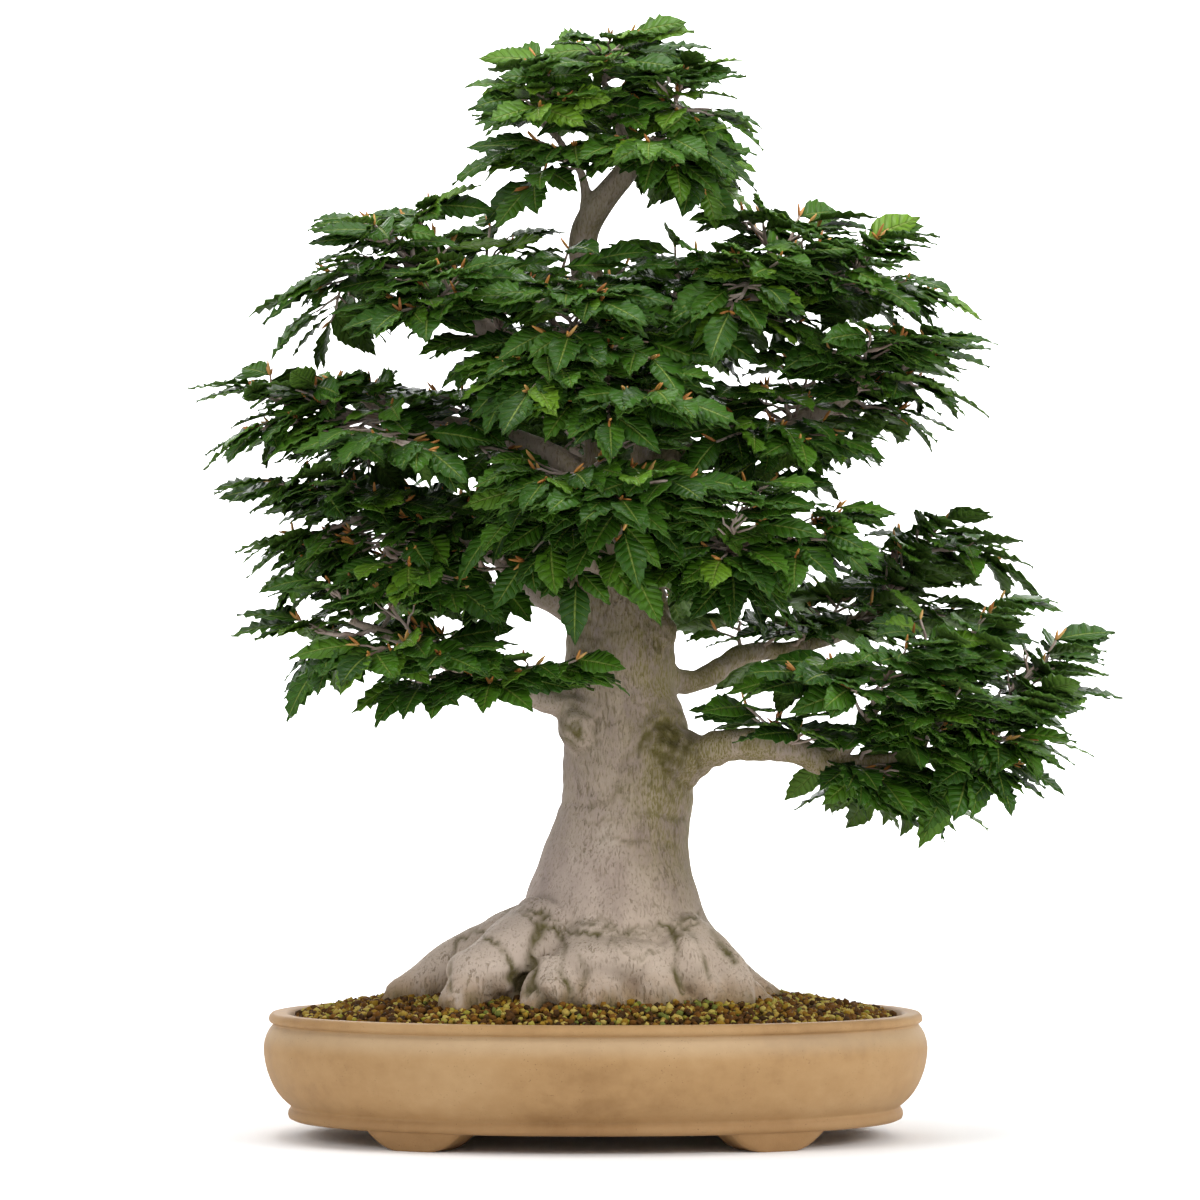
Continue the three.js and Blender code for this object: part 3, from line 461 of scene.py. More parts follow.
bm = bmesh.new()
bm.from_mesh(drilled)
for side_x in (-1, 1):
    for side_y in (-1, 1):
        bm.from_mesh(foot_mesh(side_x, side_y))
whole_pot = bpy.data.meshes.new("pot")
bm.to_mesh(whole_pot)
bm.free()
print("pot with feet and drain holes:", triangles(whole_pot), "triangles")

# %% [markdown]
# Stoneware colour comes from iron in the clay. It is a matt ochre with broad darker clouds and small
# dark specks, with a painted highlight in a thin pale band on the shoulder under the groove and painted
# shade at the foot. The clouds and specks are noise at their own scale; the painted highlight and shade
# follow the height.

# %% Stoneware
clay = Finish("ochre stoneware", Specular_IOR_Level=0.35)
axes = clay.node("SeparateXYZ", Vector=clay.node("TexCoord").outputs["Object"])
height = Number(clay, axes.outputs["Z"])
clouds = clay.grain(9, 5, (1, 1, 2.2))
fine = clay.grain(90, 6)
specks = clay.step(clay.grain(900, 1), 0.68, 0.76) * clay.step(clay.grain(60, 2), 0.45, 0.62)
tone = clay.ramp(clouds * 0.7 + fine * 0.3, (0.3, (0.26, 0.140, 0.050)), (0.5, (0.37, 0.218, 0.090)),
                 (0.68, (0.43, 0.270, 0.125)))
# Painted highlight: a thin pale band on the shoulder, just under the groove.
highlight_band = clay.step(height, 0.066, 0.080) * clay.step(height, 0.0855, 0.083) * 0.35
foot_shade = clay.step(height, 0.032, 0.012) * 0.35
tone = clay.blend(tone, (0.50, 0.40, 0.27), highlight_band)
tone = clay.blend(tone, (0.25, 0.125, 0.045), foot_shade)
tone = clay.blend(tone, (0.08, 0.045, 0.02), specks * 0.7)
clay.raised(fine * 0.5 + clay.grain(700, 3) * 0.5, 0.0009, 0.35)
clay.done(tone, 0.52 + 0.3 * fine)
pot = add_piece("stoneware_pot", whole_pot, clay.material, "pot", "pot")
print("pot placed:", triangles(pot.data))

# %% [markdown]
# ## Trunk, roots and limbs
# They grew as one, so they are one skin. Tubes and lumps are laid over each other along the routes
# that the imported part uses, and a voxel remesh melts them together, which leaves the soft hollows
# that bark has between roots. Scars, wrinkles and the crease are pushed in afterwards.
#
# A row of TRUNK is a height, a middle and a mean radius, and a row of LEADER a point and a radius. A
# lobe is a bearing in degrees, a reach and a width in degrees. A root is a route with the radii of
# its ends, and a swelling is a middle with its half sizes. The lobes grow from LOBE_TOP down.

# %% Routes
TRUNK = [
    (62, 10, 0, 88), (98, 6, 0, 108), (110, 6, 0, 107), (122, 8, 0, 99), (136, 11, 0, 89),
    (152, 13, 0, 79), (162, 13, 0, 72), (176, 13, 0, 67), (194, 13, 0, 61), (220, 16, 0, 54),
    (250, 24, 0, 50), (284, 25, 0, 50), (311, 23, 0, 47), (338, 17, 0, 43), (380, 19, 0, 41),
    (414, 17, 0, 35),
]
LEADER = [
    (18, 0, 396, 38), (20, 0, 430, 32), (21, 4, 475, 28), (15, 3, 522, 24), (11, 0, 575, 20),
    (3, 0, 622, 15), (-7, 0, 655, 12.5), (-9, -2, 684, 11), (5, -5, 709, 10.5), (25, -5, 733, 9),
]
ROOT_LOBES = [(184, 34, 17), (222, 16, 12), (268, 8, 14), (318, 12, 13), (350, 12, 12), (28, 24, 16),
              (72, 16, 14), (112, 26, 15), (150, 18, 13)]
LOBE_TOP = 178
LOBE_FULL = 116
BETWEEN_LOBES = 7
BURIED = 84
BURIED_LOBES = 0.3
ROOTS = [
    ([(-48, -8, 144), (-98, -16, 128), (-152, -24, 99)], 33, 14),
    ([(-36, -36, 150), (-82, -82, 126), (-106, -106, 98)], 34, 10),
    ([(0, -60, 142), (-36, -110, 106)], 26, 13),
    ([(60, -40, 146), (98, -62, 122), (110, -82, 98)], 27, 9),
    ([(70, -6, 136), (134, -16, 100)], 24, 10),
    ([(-26, 64, 138), (-52, 120, 98)], 25, 10),
    ([(60, 40, 138), (112, 74, 98)], 24, 9),
]
SWELLINGS = [
    ((-82, -80, 126), (29, 26, 20)), ((8, -84, 132), (40, 27, 21)), ((66, -66, 130), (24, 24, 26)),
    ((50, -30, 288), (23, 19, 24)), ((70, -20, 284), (12, 17, 23)), ((-12, -30, 307), (17, 16, 19)),
    ((-28, -18, 330), (12, 15, 16)), ((50, -20, 378), (12, 13, 14)),
]
print(len(ROOTS), "roots and", len(SWELLINGS), "swellings")

# %% [markdown]
# A limb is given by its route, its radius at both ends, and the branchlets that it carries. Each
# branchlet is a list of tips: the first starts on the limb and the others fork from its stem.

# %% Limbs
LIMBS = {
    "right_low": (
        [(71, -20, 286), (108, -40, 295), (146, -48, 290), (179, -45, 279), (218, -35, 281),
         (264, -25, 290), (306, -20, 305)],
        (14, 4),
        [[(351, 10, 374)], [(347, -40, 335)], [(313, -60, 294), (265, -50, 264)], [(211, -75, 268)],
         [(267, -110, 334), (242, -60, 387)], [(304, -40, 403)]],
    ),
    "right_low_fork": (
        [(179, -45, 279), (190, -60, 297), (203, -85, 316), (220, -100, 334)],
        (6, 3),
        [[(184, -150, 333), (142, -120, 341), (225, -140, 362)]],
    ),
    "right_back": (
        [(53, 10, 344), (80, 30, 344), (112, 55, 364), (151, 75, 370), (191, 90, 381), (227, 95, 405)],
        (10, 4),
        [[(269, 40, 468), (306, 60, 438)], [(238, 90, 459)], [(280, 120, 402)], [(206, 147, 429)]],
    ),
    "right_mid": (
        [(34, -15, 464), (71, -40, 448), (108, -65, 443), (144, -80, 449)],
        (8, 3),
        [[(179, -66, 465), (147, -122, 432)], [(91, -130, 428), (105, -140, 471)]],
    ),
    "right_upper": (
        [(26, 10, 504), (80, 20, 516), (126, 20, 528), (156, 15, 543), (183, 10, 556), (205, 5, 572)],
        (12, 5),
        [[(254, 0, 568), (247, -40, 602)], [(203, -85, 600)], [(152, -70, 520)],
         [(198, 70, 548), (238, 80, 603)]],
    ),
    "right_top": (
        [(20, -5, 577), (35, -10, 597), (50, -15, 612), (79, -20, 620), (113, -25, 630), (141, -25, 642)],
        (12, 5),
        [[(250, -10, 639), (204, -10, 677)], [(156, 10, 699), (113, -20, 695)],
         [(136, -95, 651), (99, -110, 612)], [(182, 70, 665)]],
    ),
    "left_low": (
        [(-16, -25, 320), (-49, -45, 331), (-79, -55, 342), (-105, -60, 351), (-146, -60, 372),
         (-184, -50, 387)],
        (9, 3.5),
        [[(-205, -70, 353), (-223, -20, 388)], [(-165, -120, 359)], [(-114, -120, 359)]],
    ),
    "left_mid": (
        [(-4, 0, 389), (-42, 0, 412), (-73, 10, 439), (-108, 15, 455), (-150, 20, 463), (-188, 15, 466)],
        (13, 4.5),
        [[(-225, 0, 420), (-222, 60, 454)], [(-160, -80, 423), (-100, -90, 408)], [(-246, -20, 494)],
         [(-155, 120, 410)]],
    ),
    "left_back": (
        [(-4, 15, 413), (-39, 50, 430), (-67, 90, 444), (-107, 120, 473)],
        (8, 3),
        [[(-158, 143, 501), (-117, 172, 455)]],
    ),
    "front": (
        [(4, -18, 418), (-12, -52, 443), (-11, -85, 475), (-4, -105, 495)],
        (8, 3.5),
        [[(-36, -170, 483)], [(18, -185, 468), (68, -160, 484)]],
    ),
    "left_upper": (
        [(-4, 0, 496), (-43, 10, 519), (-88, 15, 535), (-134, 10, 542), (-179, 0, 545), (-217, -10, 541)],
        (11, 4),
        [[(-258, -20, 532), (-249, 10, 577)], [(-206, 60, 578)], [(-181, -90, 519), (-122, -124, 508)],
         [(-199, 70, 501)]],
    ),
    "left_top": (
        [(-4, -10, 575), (-38, -20, 587), (-72, -25, 601), (-99, -25, 618), (-121, -20, 644),
         (-145, -10, 660)],
        (11, 4),
        [[(-201, -20, 653), (-204, 30, 621)], [(-176, 0, 692), (-126, -10, 704)],
         [(-144, -95, 614), (-100, -90, 644)], [(-81, 20, 693)]],
    ),
    "front_upper": (
        [(3, -15, 551), (2, -40, 572), (-4, -60, 588), (-15, -75, 602)],
        (7, 3.5),
        [[(-37, -120, 629), (3, -130, 617)], [(-48, -150, 549)], [(10, -170, 526), (61, -150, 542)]],
    ),
    "back_low": (
        [(22, 20, 405), (34, 70, 415), (43, 120, 434)],
        (9, 4),
        [[(-5, 200, 446)], [(77, 210, 463), (36, 190, 397)]],
    ),
    "back_mid": (
        [(15, 15, 489), (-4, 70, 509), (-20, 115, 528)],
        (8, 4),
        [[(-77, 180, 550)], [(-5, 210, 577), (52, 200, 527)]],
    ),
    "back_top": (
        [(7, 8, 596), (19, 50, 616), (35, 85, 635)],
        (7, 3.5),
        [[(-28, 130, 664), (51, 140, 673)], [(83, 150, 619), (3, 180, 614)]],
    ),
    "crown_left": (
        [(-8, 0, 697), (-10, -5, 727), (-26, -8, 752), (-42, -10, 770)],
        (4.5, 2.5),
        [[(-50, -15, 808), (-16, 30, 832), (-42, -62, 771)]],
    ),
    "crown_centre": (
        [(25, -5, 732), (20, -5, 761), (9, 0, 787), (6, 0, 808)],
        (5.5, 2.5),
        [[(11, -30, 828), (42, 30, 824)], [(3, 80, 792)]],
    ),
    "crown_right": (
        [(25, -5, 732), (45, -5, 752), (58, -5, 769)],
        (5, 3),
        [[(68, -5, 806), (74, -35, 768)], [(40, -85, 741)], [(73, 40, 746)]],
    ),
}
print(len(LIMBS), "limbs,", sum(len(limb[2]) for limb in LIMBS.values()), "branchlets")


# %% [markdown]
# Two kinds of curve are enough: one that passes through given points, for limbs, and a simple bend,
# for stems.

# %% Curves
class Route:
    """A smooth line through points."""

    def __init__(self, points):
        self.points = [Vector(p) for p in points]

    def point(self, t):
        points = self.points
        place = (len(points) - 1) * t
        k = min(int(place), len(points) - 2)
        w = place - k
        before = points[k - 1] if k > 0 else points[0] * 2 - points[1]
        after = points[k + 2] if k + 2 < len(points) else points[-1] * 2 - points[-2]
        start, end = points[k], points[k + 1]
        leave, arrive = (end - before) / 2, (after - start) / 2
        return (start + leave * w + (3 * (end - start) - 2 * leave - arrive) * w ** 2
                + (2 * (start - end) + leave + arrive) * w ** 3)

    def heading(self, t):
        """Which way the line runs at a place from 0 to 1."""
        return (self.point(min(1, t + 0.0001)) - self.point(max(0, t - 0.0001))).normalized()

    def length(self):
        marks = [self.point(k / 200) for k in range(201)]
        return sum((b - a).length for a, b in zip(marks, marks[1:]))


class Bend(Route):
    """A stem's bend from a start, past a middle, to an end."""

    def point(self, t):
        start, middle, end = self.points
        return start * (1 - t) ** 2 + middle * (2 * t * (1 - t)) + end * t ** 2


# %% [markdown]
# A tube starts as a disc whose face is extruded from ring to ring along the route. `bumps` makes
# limbs a little knotty, as beech is where old shoots were cut.

# %% Tubes and lumps
def add_tube(bm, curve, radius_at, sides, steps, bumps):
    """A closed tube along a curve, its radius given as a function of the place from 0 to 1."""
    turn = curve.heading(0).to_track_quat("Z", "Y")
    frames = []
    for k in range(steps + 1):
        t = k / steps
        ahead = curve.heading(t)
        turn = (turn @ UP).rotation_difference(ahead) @ turn
        radius = radius_at(t) * (1 + bumps * (chance.random() - 0.4))
        frames.append(Matrix.LocRotScale(curve.point(t), turn, (radius, radius, radius)))
    ring = bmesh.ops.create_circle(bm, cap_ends=True, radius=1, segments=sides, matrix=frames[0])
    face = ring["verts"][0].link_faces[0]
    for before, after in zip(frames, frames[1:]):
        made = bmesh.ops.extrude_face_region(bm, geom=[face], use_keep_orig=before is frames[0])
        face = next(part for part in made["geom"] if isinstance(part, bmesh.types.BMFace))
        bmesh.ops.transform(bm, matrix=after @ before.inverted(), verts=face.verts)


def add_lump(bm, centre, sizes):
    """A rounded swelling, with its half sizes along x, y and z."""
    place = Matrix.Translation(centre) @ Matrix.Diagonal((*sizes, 1))
    bmesh.ops.create_uvsphere(bm, u_segments=20, v_segments=12, radius=1, matrix=place)


def taper(start, end):
    """A radius that goes evenly from its start to its end."""
    return lambda t: start + (end - start) * t


def flare(height, mean, bearing):
    """The trunk's radius at a height and bearing, with a lobe over each root."""
    share = min(1, max(0, (LOBE_TOP - height) / (LOBE_TOP - LOBE_FULL)))
    strength = BURIED_LOBES if height < BURIED else share * share * (3 - 2 * share)
    extra = -BETWEEN_LOBES * strength
    for middle, reach, width in ROOT_LOBES:
        off = (bearing - middle + 540) % 360 - 180
        extra += reach * strength * math.exp(-((off / width) ** 2))
    return mean + extra


# %% [markdown]
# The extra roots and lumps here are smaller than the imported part's, and lie within or against its
# forms: the toes at the ends of the roots, the folds between them, and the collars of the limbs.

# %% Trunk forms
TOES = [
    ([(-78, -84, 132), (-98, -96, 116), (-104, -104, 94)], 15, 8),
    ([(-30, -84, 128), (-42, -100, 112), (-48, -108, 94)], 16, 9),
    ([(6, -74, 132), (4, -92, 114), (-2, -100, 96)], 25, 19),
    ([(38, -72, 130), (44, -86, 112), (48, -90, 96)], 23, 17),
    ([(70, -68, 126), (84, -80, 108), (96, -84, 94)], 15, 10),
    ([(92, -48, 126), (118, -60, 106), (130, -66, 94)], 13, 7),
    ([(-98, -8, 132), (-128, -14, 116), (-158, -30, 95)], 18, 8),
    ([(-88, 20, 130), (-118, 34, 108), (-132, 40, 94)], 17, 8),
    ([(-60, 62, 128), (-84, 88, 106), (-92, 96, 94)], 17, 8),
    ([(12, 76, 130), (18, 104, 106), (20, 114, 94)], 18, 8),
    ([(84, 30, 126), (116, 42, 104), (126, 46, 94)], 15, 7),
]
LUMPS = [
    ((-62, -74, 140), (24, 16, 15)), ((-4, -80, 130), (26, 17, 18)), ((34, -80, 132), (24, 16, 18)),
    ((84, -58, 120), (18, 16, 14)), ((100, -40, 112), (18, 14, 11)), ((-120, -22, 112), (20, 13, 12)),
    ((-20, -102, 101), (11, 8, 7)), ((14, -103, 103), (17, 9, 9)), ((60, -93, 103), (13, 9, 9)),
    ((-38, -98, 112), (13, 10, 11)), ((118, -52, 101), (14, 9, 8)), ((30, -104, 99), (8, 6, 5)),
]

bm = bmesh.new()
rings = []
for z, x, y, mean in TRUNK:
    at_end = z in (TRUNK[0][0], TRUNK[-1][0])
    verts = bmesh.ops.create_circle(bm, cap_ends=at_end, radius=1, segments=72)["verts"]
    for vert in verts:
        angle = math.atan2(vert.co.y, vert.co.x)
        reach = flare(z, mean, math.degrees(angle))
        vert.co = (x + reach * math.cos(angle), y + reach * math.sin(angle), z)
    rings.append(list({edge for vert in verts for edge in vert.link_edges}))
for low, high in zip(rings, rings[1:]):
    bmesh.ops.bridge_loops(bm, edges=low + high)


def leader_radius(t):
    """The radius along the leader, from its table."""
    return float(np.interp(t * (len(LEADER) - 1), range(len(LEADER)), [row[3] for row in LEADER]))


add_tube(bm, Route([row[:3] for row in LEADER]), leader_radius, 22, 30, 0.05)
for route, start, end in ROOTS + TOES:
    add_tube(bm, Route(route), taper(start, end), 16, 10, 0.08)
for centre, sizes in SWELLINGS + LUMPS:
    add_lump(bm, centre, sizes)
for route, (start, end), _ in LIMBS.values():
    add_tube(bm, Route(route), taper(start * 1.02, end * 0.96), 14, 8 * (len(route) - 1), 0.2)
    collar = start * 1.35
    add_lump(bm, route[0], (collar, collar, collar))
rough = mesh_from(bm, "trunk")
print("forms laid over each other:", triangles(rough), "triangles")

# %% [markdown]
# The voxel remesh draws one skin round all of them, with an even net that is fine enough for the
# marks below. A little smoothing takes its steps away.

# %% One skin
VOXEL = 2.6
bark_mesh = shaped(rough, ("REMESH", {"mode": "VOXEL", "voxel_size": VOXEL, "adaptivity": 0.0}),
                   ("SMOOTH", {"factor": 0.5, "iterations": 3}))
print("trunk skin:", triangles(bark_mesh), "triangles")

# %% [markdown]
# Now the marks of age. Each crease is a line on the front, as x and z, with its width and depth; a
# negative depth is a ridge. Healed cuts are rings round a point, with their size and depth, and the
# mossy places are patches with a half width, a half height and a strength.

# %% Where the marks are
CREASES = [
    ([(-80, 173), (-66, 172), (-50, 168), (-38, 160), (-26, 156)], 1.7, 1.5),
    ([(-60, 176), (-44, 171), (-30, 164), (-12, 161), (2, 165), (14, 161)], 1.5, 1.2),
    ([(-22, 158), (-8, 154), (8, 158), (22, 156), (38, 160), (56, 159), (70, 166), (86, 171)], 1.8, 1.6),
    ([(10, 150), (24, 152), (40, 155), (60, 154), (76, 162)], 1.5, 1.0),
    ([(-102, 150), (-94, 154), (-84, 154), (-74, 150), (-66, 142), (-60, 130), (-58, 120)], 1.6, 1.4),
    ([(-104, 148), (-106, 138), (-108, 126), (-106, 112)], 1.8, 1.4),
    ([(64, 160), (74, 150), (80, 138), (84, 122)], 1.6, 1.2),
    ([(12, 150), (24, 140), (34, 138), (44, 142)], 1.6, 0.9),
    ([(30, 244), (50, 241), (68, 236)], 1.8, 1.0),
    ([(3, 226), (30, 222), (58, 217)], 1.7, 0.8),
    ([(-8, 236), (18, 238), (36, 235)], 1.5, 0.6),
    ([(27, 275), (15, 258), (-2, 252)], 3.0, -1.4),
    ([(27, 271), (13, 254), (-4, 248)], 2.0, 0.8),
    ([(66, 316), (54, 315), (42, 310), (34, 303), (29, 296), (26, 285)], 3.0, -2.0),
    ([(61, 312), (52, 311), (42, 306), (35, 297), (32, 288)], 1.8, 1.4),
    ([(-16, 328), (-6, 326), (2, 318)], 2.4, -1.5),
    ([(-17, 376), (0, 374), (16, 377)], 1.7, 0.9),
    ([(-16, 366), (4, 367), (20, 364)], 1.6, 0.7),
    ([(50, 279), (60, 268), (70, 262)], 1.6, 0.8),
    ([(50, 279), (64, 274), (74, 268)], 1.5, 0.6),
    ([(50, 279), (52, 264), (58, 252)], 1.6, 0.7),
    ([(50, 279), (40, 266), (30, 260)], 1.6, 0.7),
    ([(-38, 168), (-44, 150), (-47, 132), (-50, 116)], 4.2, 3.6),
    ([(56, 158), (60, 144), (58, 130), (64, 114)], 2.4, 1.5),
    ([(-12, 140), (-6, 128), (-10, 116)], 2.2, 0.9),
    ([(84, 166), (92, 148), (104, 132)], 2.6, 1.4),
    ([(-30, 158), (-22, 144), (-26, 130), (-18, 116)], 2.4, 1.3),
    ([(-60, 124), (-54, 118), (-46, 116)], 5.0, 4.5),
    ([(30, 292), (20, 280), (16, 264), (22, 252)], 2.2, 0.6),
    ([(66, 296), (76, 286), (80, 272)], 2.0, 0.9),
    ([(44, 290), (54, 284), (62, 290)], 1.8, 0.8),
]
HEALED = [(-14, 306, 17, 1.3), (46.7, 371, 12, 1.2), (54, 304, 21, 1.1), (49.7, 398, 8, 0.9),
          (59.4, 377.5, 5, 0.8), (50.4, 279, 7, 0.9), (-14, 385, 9, 0.9)]
MOSSY = [(-20, 304, 11, 13, 0.75), (50, 300, 15, 17, 1.0), (55, 282, 9, 14, 0.8), (-13, 387, 8, 6, 0.7),
         (66, 292, 8, 14, 0.5)]
print(len(CREASES), "creases,", len(HEALED), "healed cuts and", len(MOSSY), "mossy places")

# %% [markdown]
# A sculptor would push each mark in with a brush. Here every vertex is pushed along its normal by
# the sum of all marks near it, bent a little by waves, so that no line is straight and no ring is
# round. Moss gathers in what is pushed in, so the same sums also say where it grows.

# %% Marks pushed in
def off_line(points, x, z):
    """How far each place is from a line through points, seen from the front."""
    nearest = np.full(len(x), 1e9)
    for (ax, az), (bx, bz) in zip(points, points[1:]):
        dx, dz = bx - ax, bz - az
        along = np.clip(((x - ax) * dx + (z - az) * dz) / (dx ** 2 + dz ** 2), 0, 1)
        nearest = np.minimum(nearest, np.hypot(x - ax - along * dx, z - az - along * dz))
    return nearest


def rise(value, low, high):
    """0 at low, 1 at high, and straight between. low may be the larger."""
    return np.clip((value - low) / (high - low), 0, 1)


spots = places_of(bark_mesh)
normals = np.array([vert.normal for vert in bark_mesh.vertices], np.float32)
x, y, z = spots.T
facing = np.clip(-normals[:, 1] * 2.5, 0, 1) * np.clip((20 - y) / 20, 0, 1)
push = np.zeros(len(x))
moss = np.zeros(len(x))
for points, width, depth in CREASES:
    wander = 1.6 * np.sin(x * 0.31 + z * 0.17) + 1.1 * np.sin(x * 0.83 - z * 0.29)
    near = np.exp(-((off_line(points, x, z + wander) / width) ** 2)) * facing
    push -= depth * near
    patchy = 0.6 + 0.4 * np.sin(x * 0.16 + 1.3 * depth) * np.sin(z * 0.21 + x * 0.07)
    moss += np.clip(depth, 0, 2) * 0.8 * near * patchy
for cx, cz, size, depth in HEALED:
    bent_x = x - cx + 2.0 * np.sin(z * 0.34 + cx) + 1.1 * np.sin(z * 0.8)
    bent_z = z - cz + 2.2 * np.sin(x * 0.29 + cz) + 0.25 * (x - cx)
    away = np.hypot(bent_x, bent_z * 0.85) / size
    ring = np.cos(away * 10.5 + 0.6) * np.exp(-(away ** 2) * 1.1) * facing
    push += depth * ring
    moss += np.clip(-0.75 * ring, 0, 1)
for cx, cz, wide, high, strength in MOSSY:
    away = np.hypot((x - cx) / wide, (z - cz) / high)
    uneven = 0.55 + 0.45 * np.sin(x * 0.43 + z * 0.21) * np.sin(z * 0.37 - x * 0.16)
    moss += strength * uneven * np.exp(-(away ** 2.5)) * facing
wave = np.sin(x * 0.11 + 1.7) * np.sin(y * 0.12 + 0.6) * np.sin(z * 0.075)
wave += 0.5 * np.sin(z * 0.19 + x * 0.05)
on_trunk = rise(z, 430, 370)
push += 0.7 * wave * on_trunk
push += 0.25 * np.sin(z * 0.55 + 2.2 * np.sin(x * 0.09)) * rise(z, 200, 260) * on_trunk
ragged = np.sin(x * 0.47 + 1.1) * np.sin(y * 0.39)
ragged += 0.6 * np.sin(x * 0.9 + z * 0.6) * np.sin(y * 0.8 + z * 0.3)
push += 1.1 * ragged * rise(z, 126, 106)
spots += normals * push[:, None]
move_to(bark_mesh, spots)
print("pushed by", round(float(push.min()), 1), "to", round(float(push.max()), 1), "mm")

# %% [markdown]
# Four numbers are kept at every vertex for the bark's finish: `moss` in the folds and at the soil,
# `tan` on the root tips, `green` for the thin film on the right side and along the leader, and
# `limb` where the young limbs are greyer than the trunk.

# %% Where the bark changes
low_fold = rise(z, 146, 106) * np.clip(1 - np.abs(normals[:, 2] + 0.1) * 1.6, 0, 1)
low_fold *= 0.5 + 0.5 * np.sin(x * 0.21 + y * 0.17) * np.sin(z * 0.13 + x * 0.05)
at_soil = rise(z, 119, 107) * (0.5 + 0.5 * np.sin(x * 0.19 + y * 0.12) * np.sin(x * 0.07 + 2.1))
near_leader = np.clip(1.2 - np.hypot(x - 18, y) / 60, 0, 1)
green = rise(x, 18, 58) * rise(z, 150, 240) * rise(z, 470, 410)
green += rise(z, 320, 390) * rise(z, 740, 680) * near_leader
green += 0.35 * rise(z, 190, 250) * rise(z, 420, 360)
paint(bark_mesh, "moss", np.clip(moss + 0.42 * low_fold + 0.6 * at_soil, 0, 1))
paint(bark_mesh, "tan", rise(z, 128, 106))
paint(bark_mesh, "green", np.clip(green, 0, 1))
paint(bark_mesh, "limb", rise(np.hypot(x - 15, y), 62, 82) * rise(z, 200, 240))
print("mossy:", round(float(np.mean(moss > 0.3)) * 100, 1), "% of the bark")

# %% [markdown]
# Beech bark stays thin and smooth all its life. It is a pinkish beige, painted greyer and cooler on
# the left side as shade, and painted paler low down as light on the roots and the foot of the trunk.
# It has short upright olive-brown cracks, a faint green film where water runs, and dark moss in the
# folds. The limbs are paler and greyer.

# %% Bark
bark = Finish("beech bark", Specular_IOR_Level=0.3)
axes = bark.node("SeparateXYZ", Vector=bark.node("TexCoord").outputs["Object"])
across = Number(bark, axes.outputs["X"])
height = Number(bark, axes.outputs["Z"])
broad = bark.grain(14, 4, (1, 1, 0.6))
patches = bark.grain(60, 6, (1, 1, 0.55), roughness=0.65)
cracks = bark.grain(420, 2, (1, 1, 0.22))
fine_cracks = bark.grain(800, 2, (1, 1, 0.25))
gate = bark.grain(34, 3)
crack = bark.step(cracks, 0.570, 0.66) * bark.step(gate, 0.40, 0.62)
crack = (crack + bark.step(fine_cracks, 0.56, 0.68) * 0.5).clamped()
skin = bark.ramp(broad * 0.5 + patches * 0.5, (0.36, (0.25, 0.190, 0.155)), (0.47, (0.375, 0.292, 0.235)),
                 (0.56, (0.45, 0.358, 0.290)), (0.66, (0.52, 0.425, 0.355)))
# Painted shade: the left side of the trunk is made greyer and cooler.
skin = bark.blend(skin, (0.35, 0.29, 0.29), bark.step(across, 0.0, -0.10) * 0.4)
# Painted light: the roots and the lower trunk are made paler, fully below about 130 mm and fading out by
# 210 mm.
skin = bark.blend(skin, (0.62, 0.505, 0.40), bark.step(height, 0.21, 0.13) * 0.55)
skin = bark.blend(skin, (0.44, 0.36, 0.295), bark.attribute("limb") * 0.5)
streaks = bark.step(patches, 0.36, 0.58) * 0.6 + bark.step(fine_cracks, 0.42, 0.56) * 0.4
film = bark.attribute("green") * streaks
skin = bark.blend(skin, (0.185, 0.155, 0.035), film.clamped() * 0.85)
skin = bark.blend(skin, (0.34, 0.205, 0.095), bark.attribute("tan") * bark.step(patches, 0.3, 0.6) * 0.8)
skin = bark.blend(skin, (0.150, 0.108, 0.042), crack * 0.55)
dark = bark.attribute("moss") * (0.5 + 0.9 * bark.grain(150, 4))
skin = bark.blend(skin, (0.085, 0.070, 0.010), dark.clamped() * 0.92)
bark.raised(broad * 0.3 + patches * 0.4 - crack * 0.6 + bark.grain(420, 4) * 0.2, 0.0026, 0.7)
bark.done(skin, 0.62 + 0.25 * patches)
trunk = add_piece("trunk_and_limbs", bark_mesh, bark.material, "bark", "trunk")
print("trunk placed:", triangles(trunk.data))

# %% [markdown]
# ## How the branchlets grow
# Every stem leaves its limb at a slant, carries twigs left and right, and ends in a leaf. Leaves
# stand alternately along the twigs, tilt out of the crown towards the light, and hang a little.
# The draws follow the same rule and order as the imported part's, so the leaves stand where they do
# there.

# %% Growth rule
LEAF_LENGTH = 44
LEAF_HALF_WIDTH = 10.5
STEM_SPACING = 16
TWIG_SPACING = 22
TWIG_SLANT = 48
SHORTEST_TWIG = 22
LONGEST_TWIG = 62
LEAF_SPACING = 15
TIP_LEAF_SPACING = 34
CROWN_MIDDLE_X = 18
CROWN_MIDDLE_Y = 60
seed = 20251


def draw():
    """The next number between 0 and 1."""
    global seed
    seed = seed * 16807 % 2147483647
    return seed / 2147483647


def spread(amount):
    """A number up to the amount, either way."""
    return (draw() * 2 - 1) * amount


def half_up(value):
    """The nearest whole number, with halves going up."""
    return math.floor(value + 0.5)


def grow_leaf(base, heading):
    """A leaf, as its base, the way it points, the way its upper side faces, its length and droop."""
    length = LEAF_LENGTH * (0.86 + 0.34 * draw())
    outward = Vector((0.6 * (base.x - CROWN_MIDDLE_X), base.y - CROWN_MIDDLE_Y, 0)).normalized()
    along = heading.normalized() + outward * 0.25
    along.z = min(along.z, 0.35) - 0.1 - 0.3 * draw()
    along.normalize()
    face = UP + outward * (0.8 + spread(0.5))
    face += Vector((spread(0.3), spread(0.3), 0))
    face = (face - along * face.dot(along)).normalized()
    return base, along, face, length, 0.1 + 0.14 * draw()


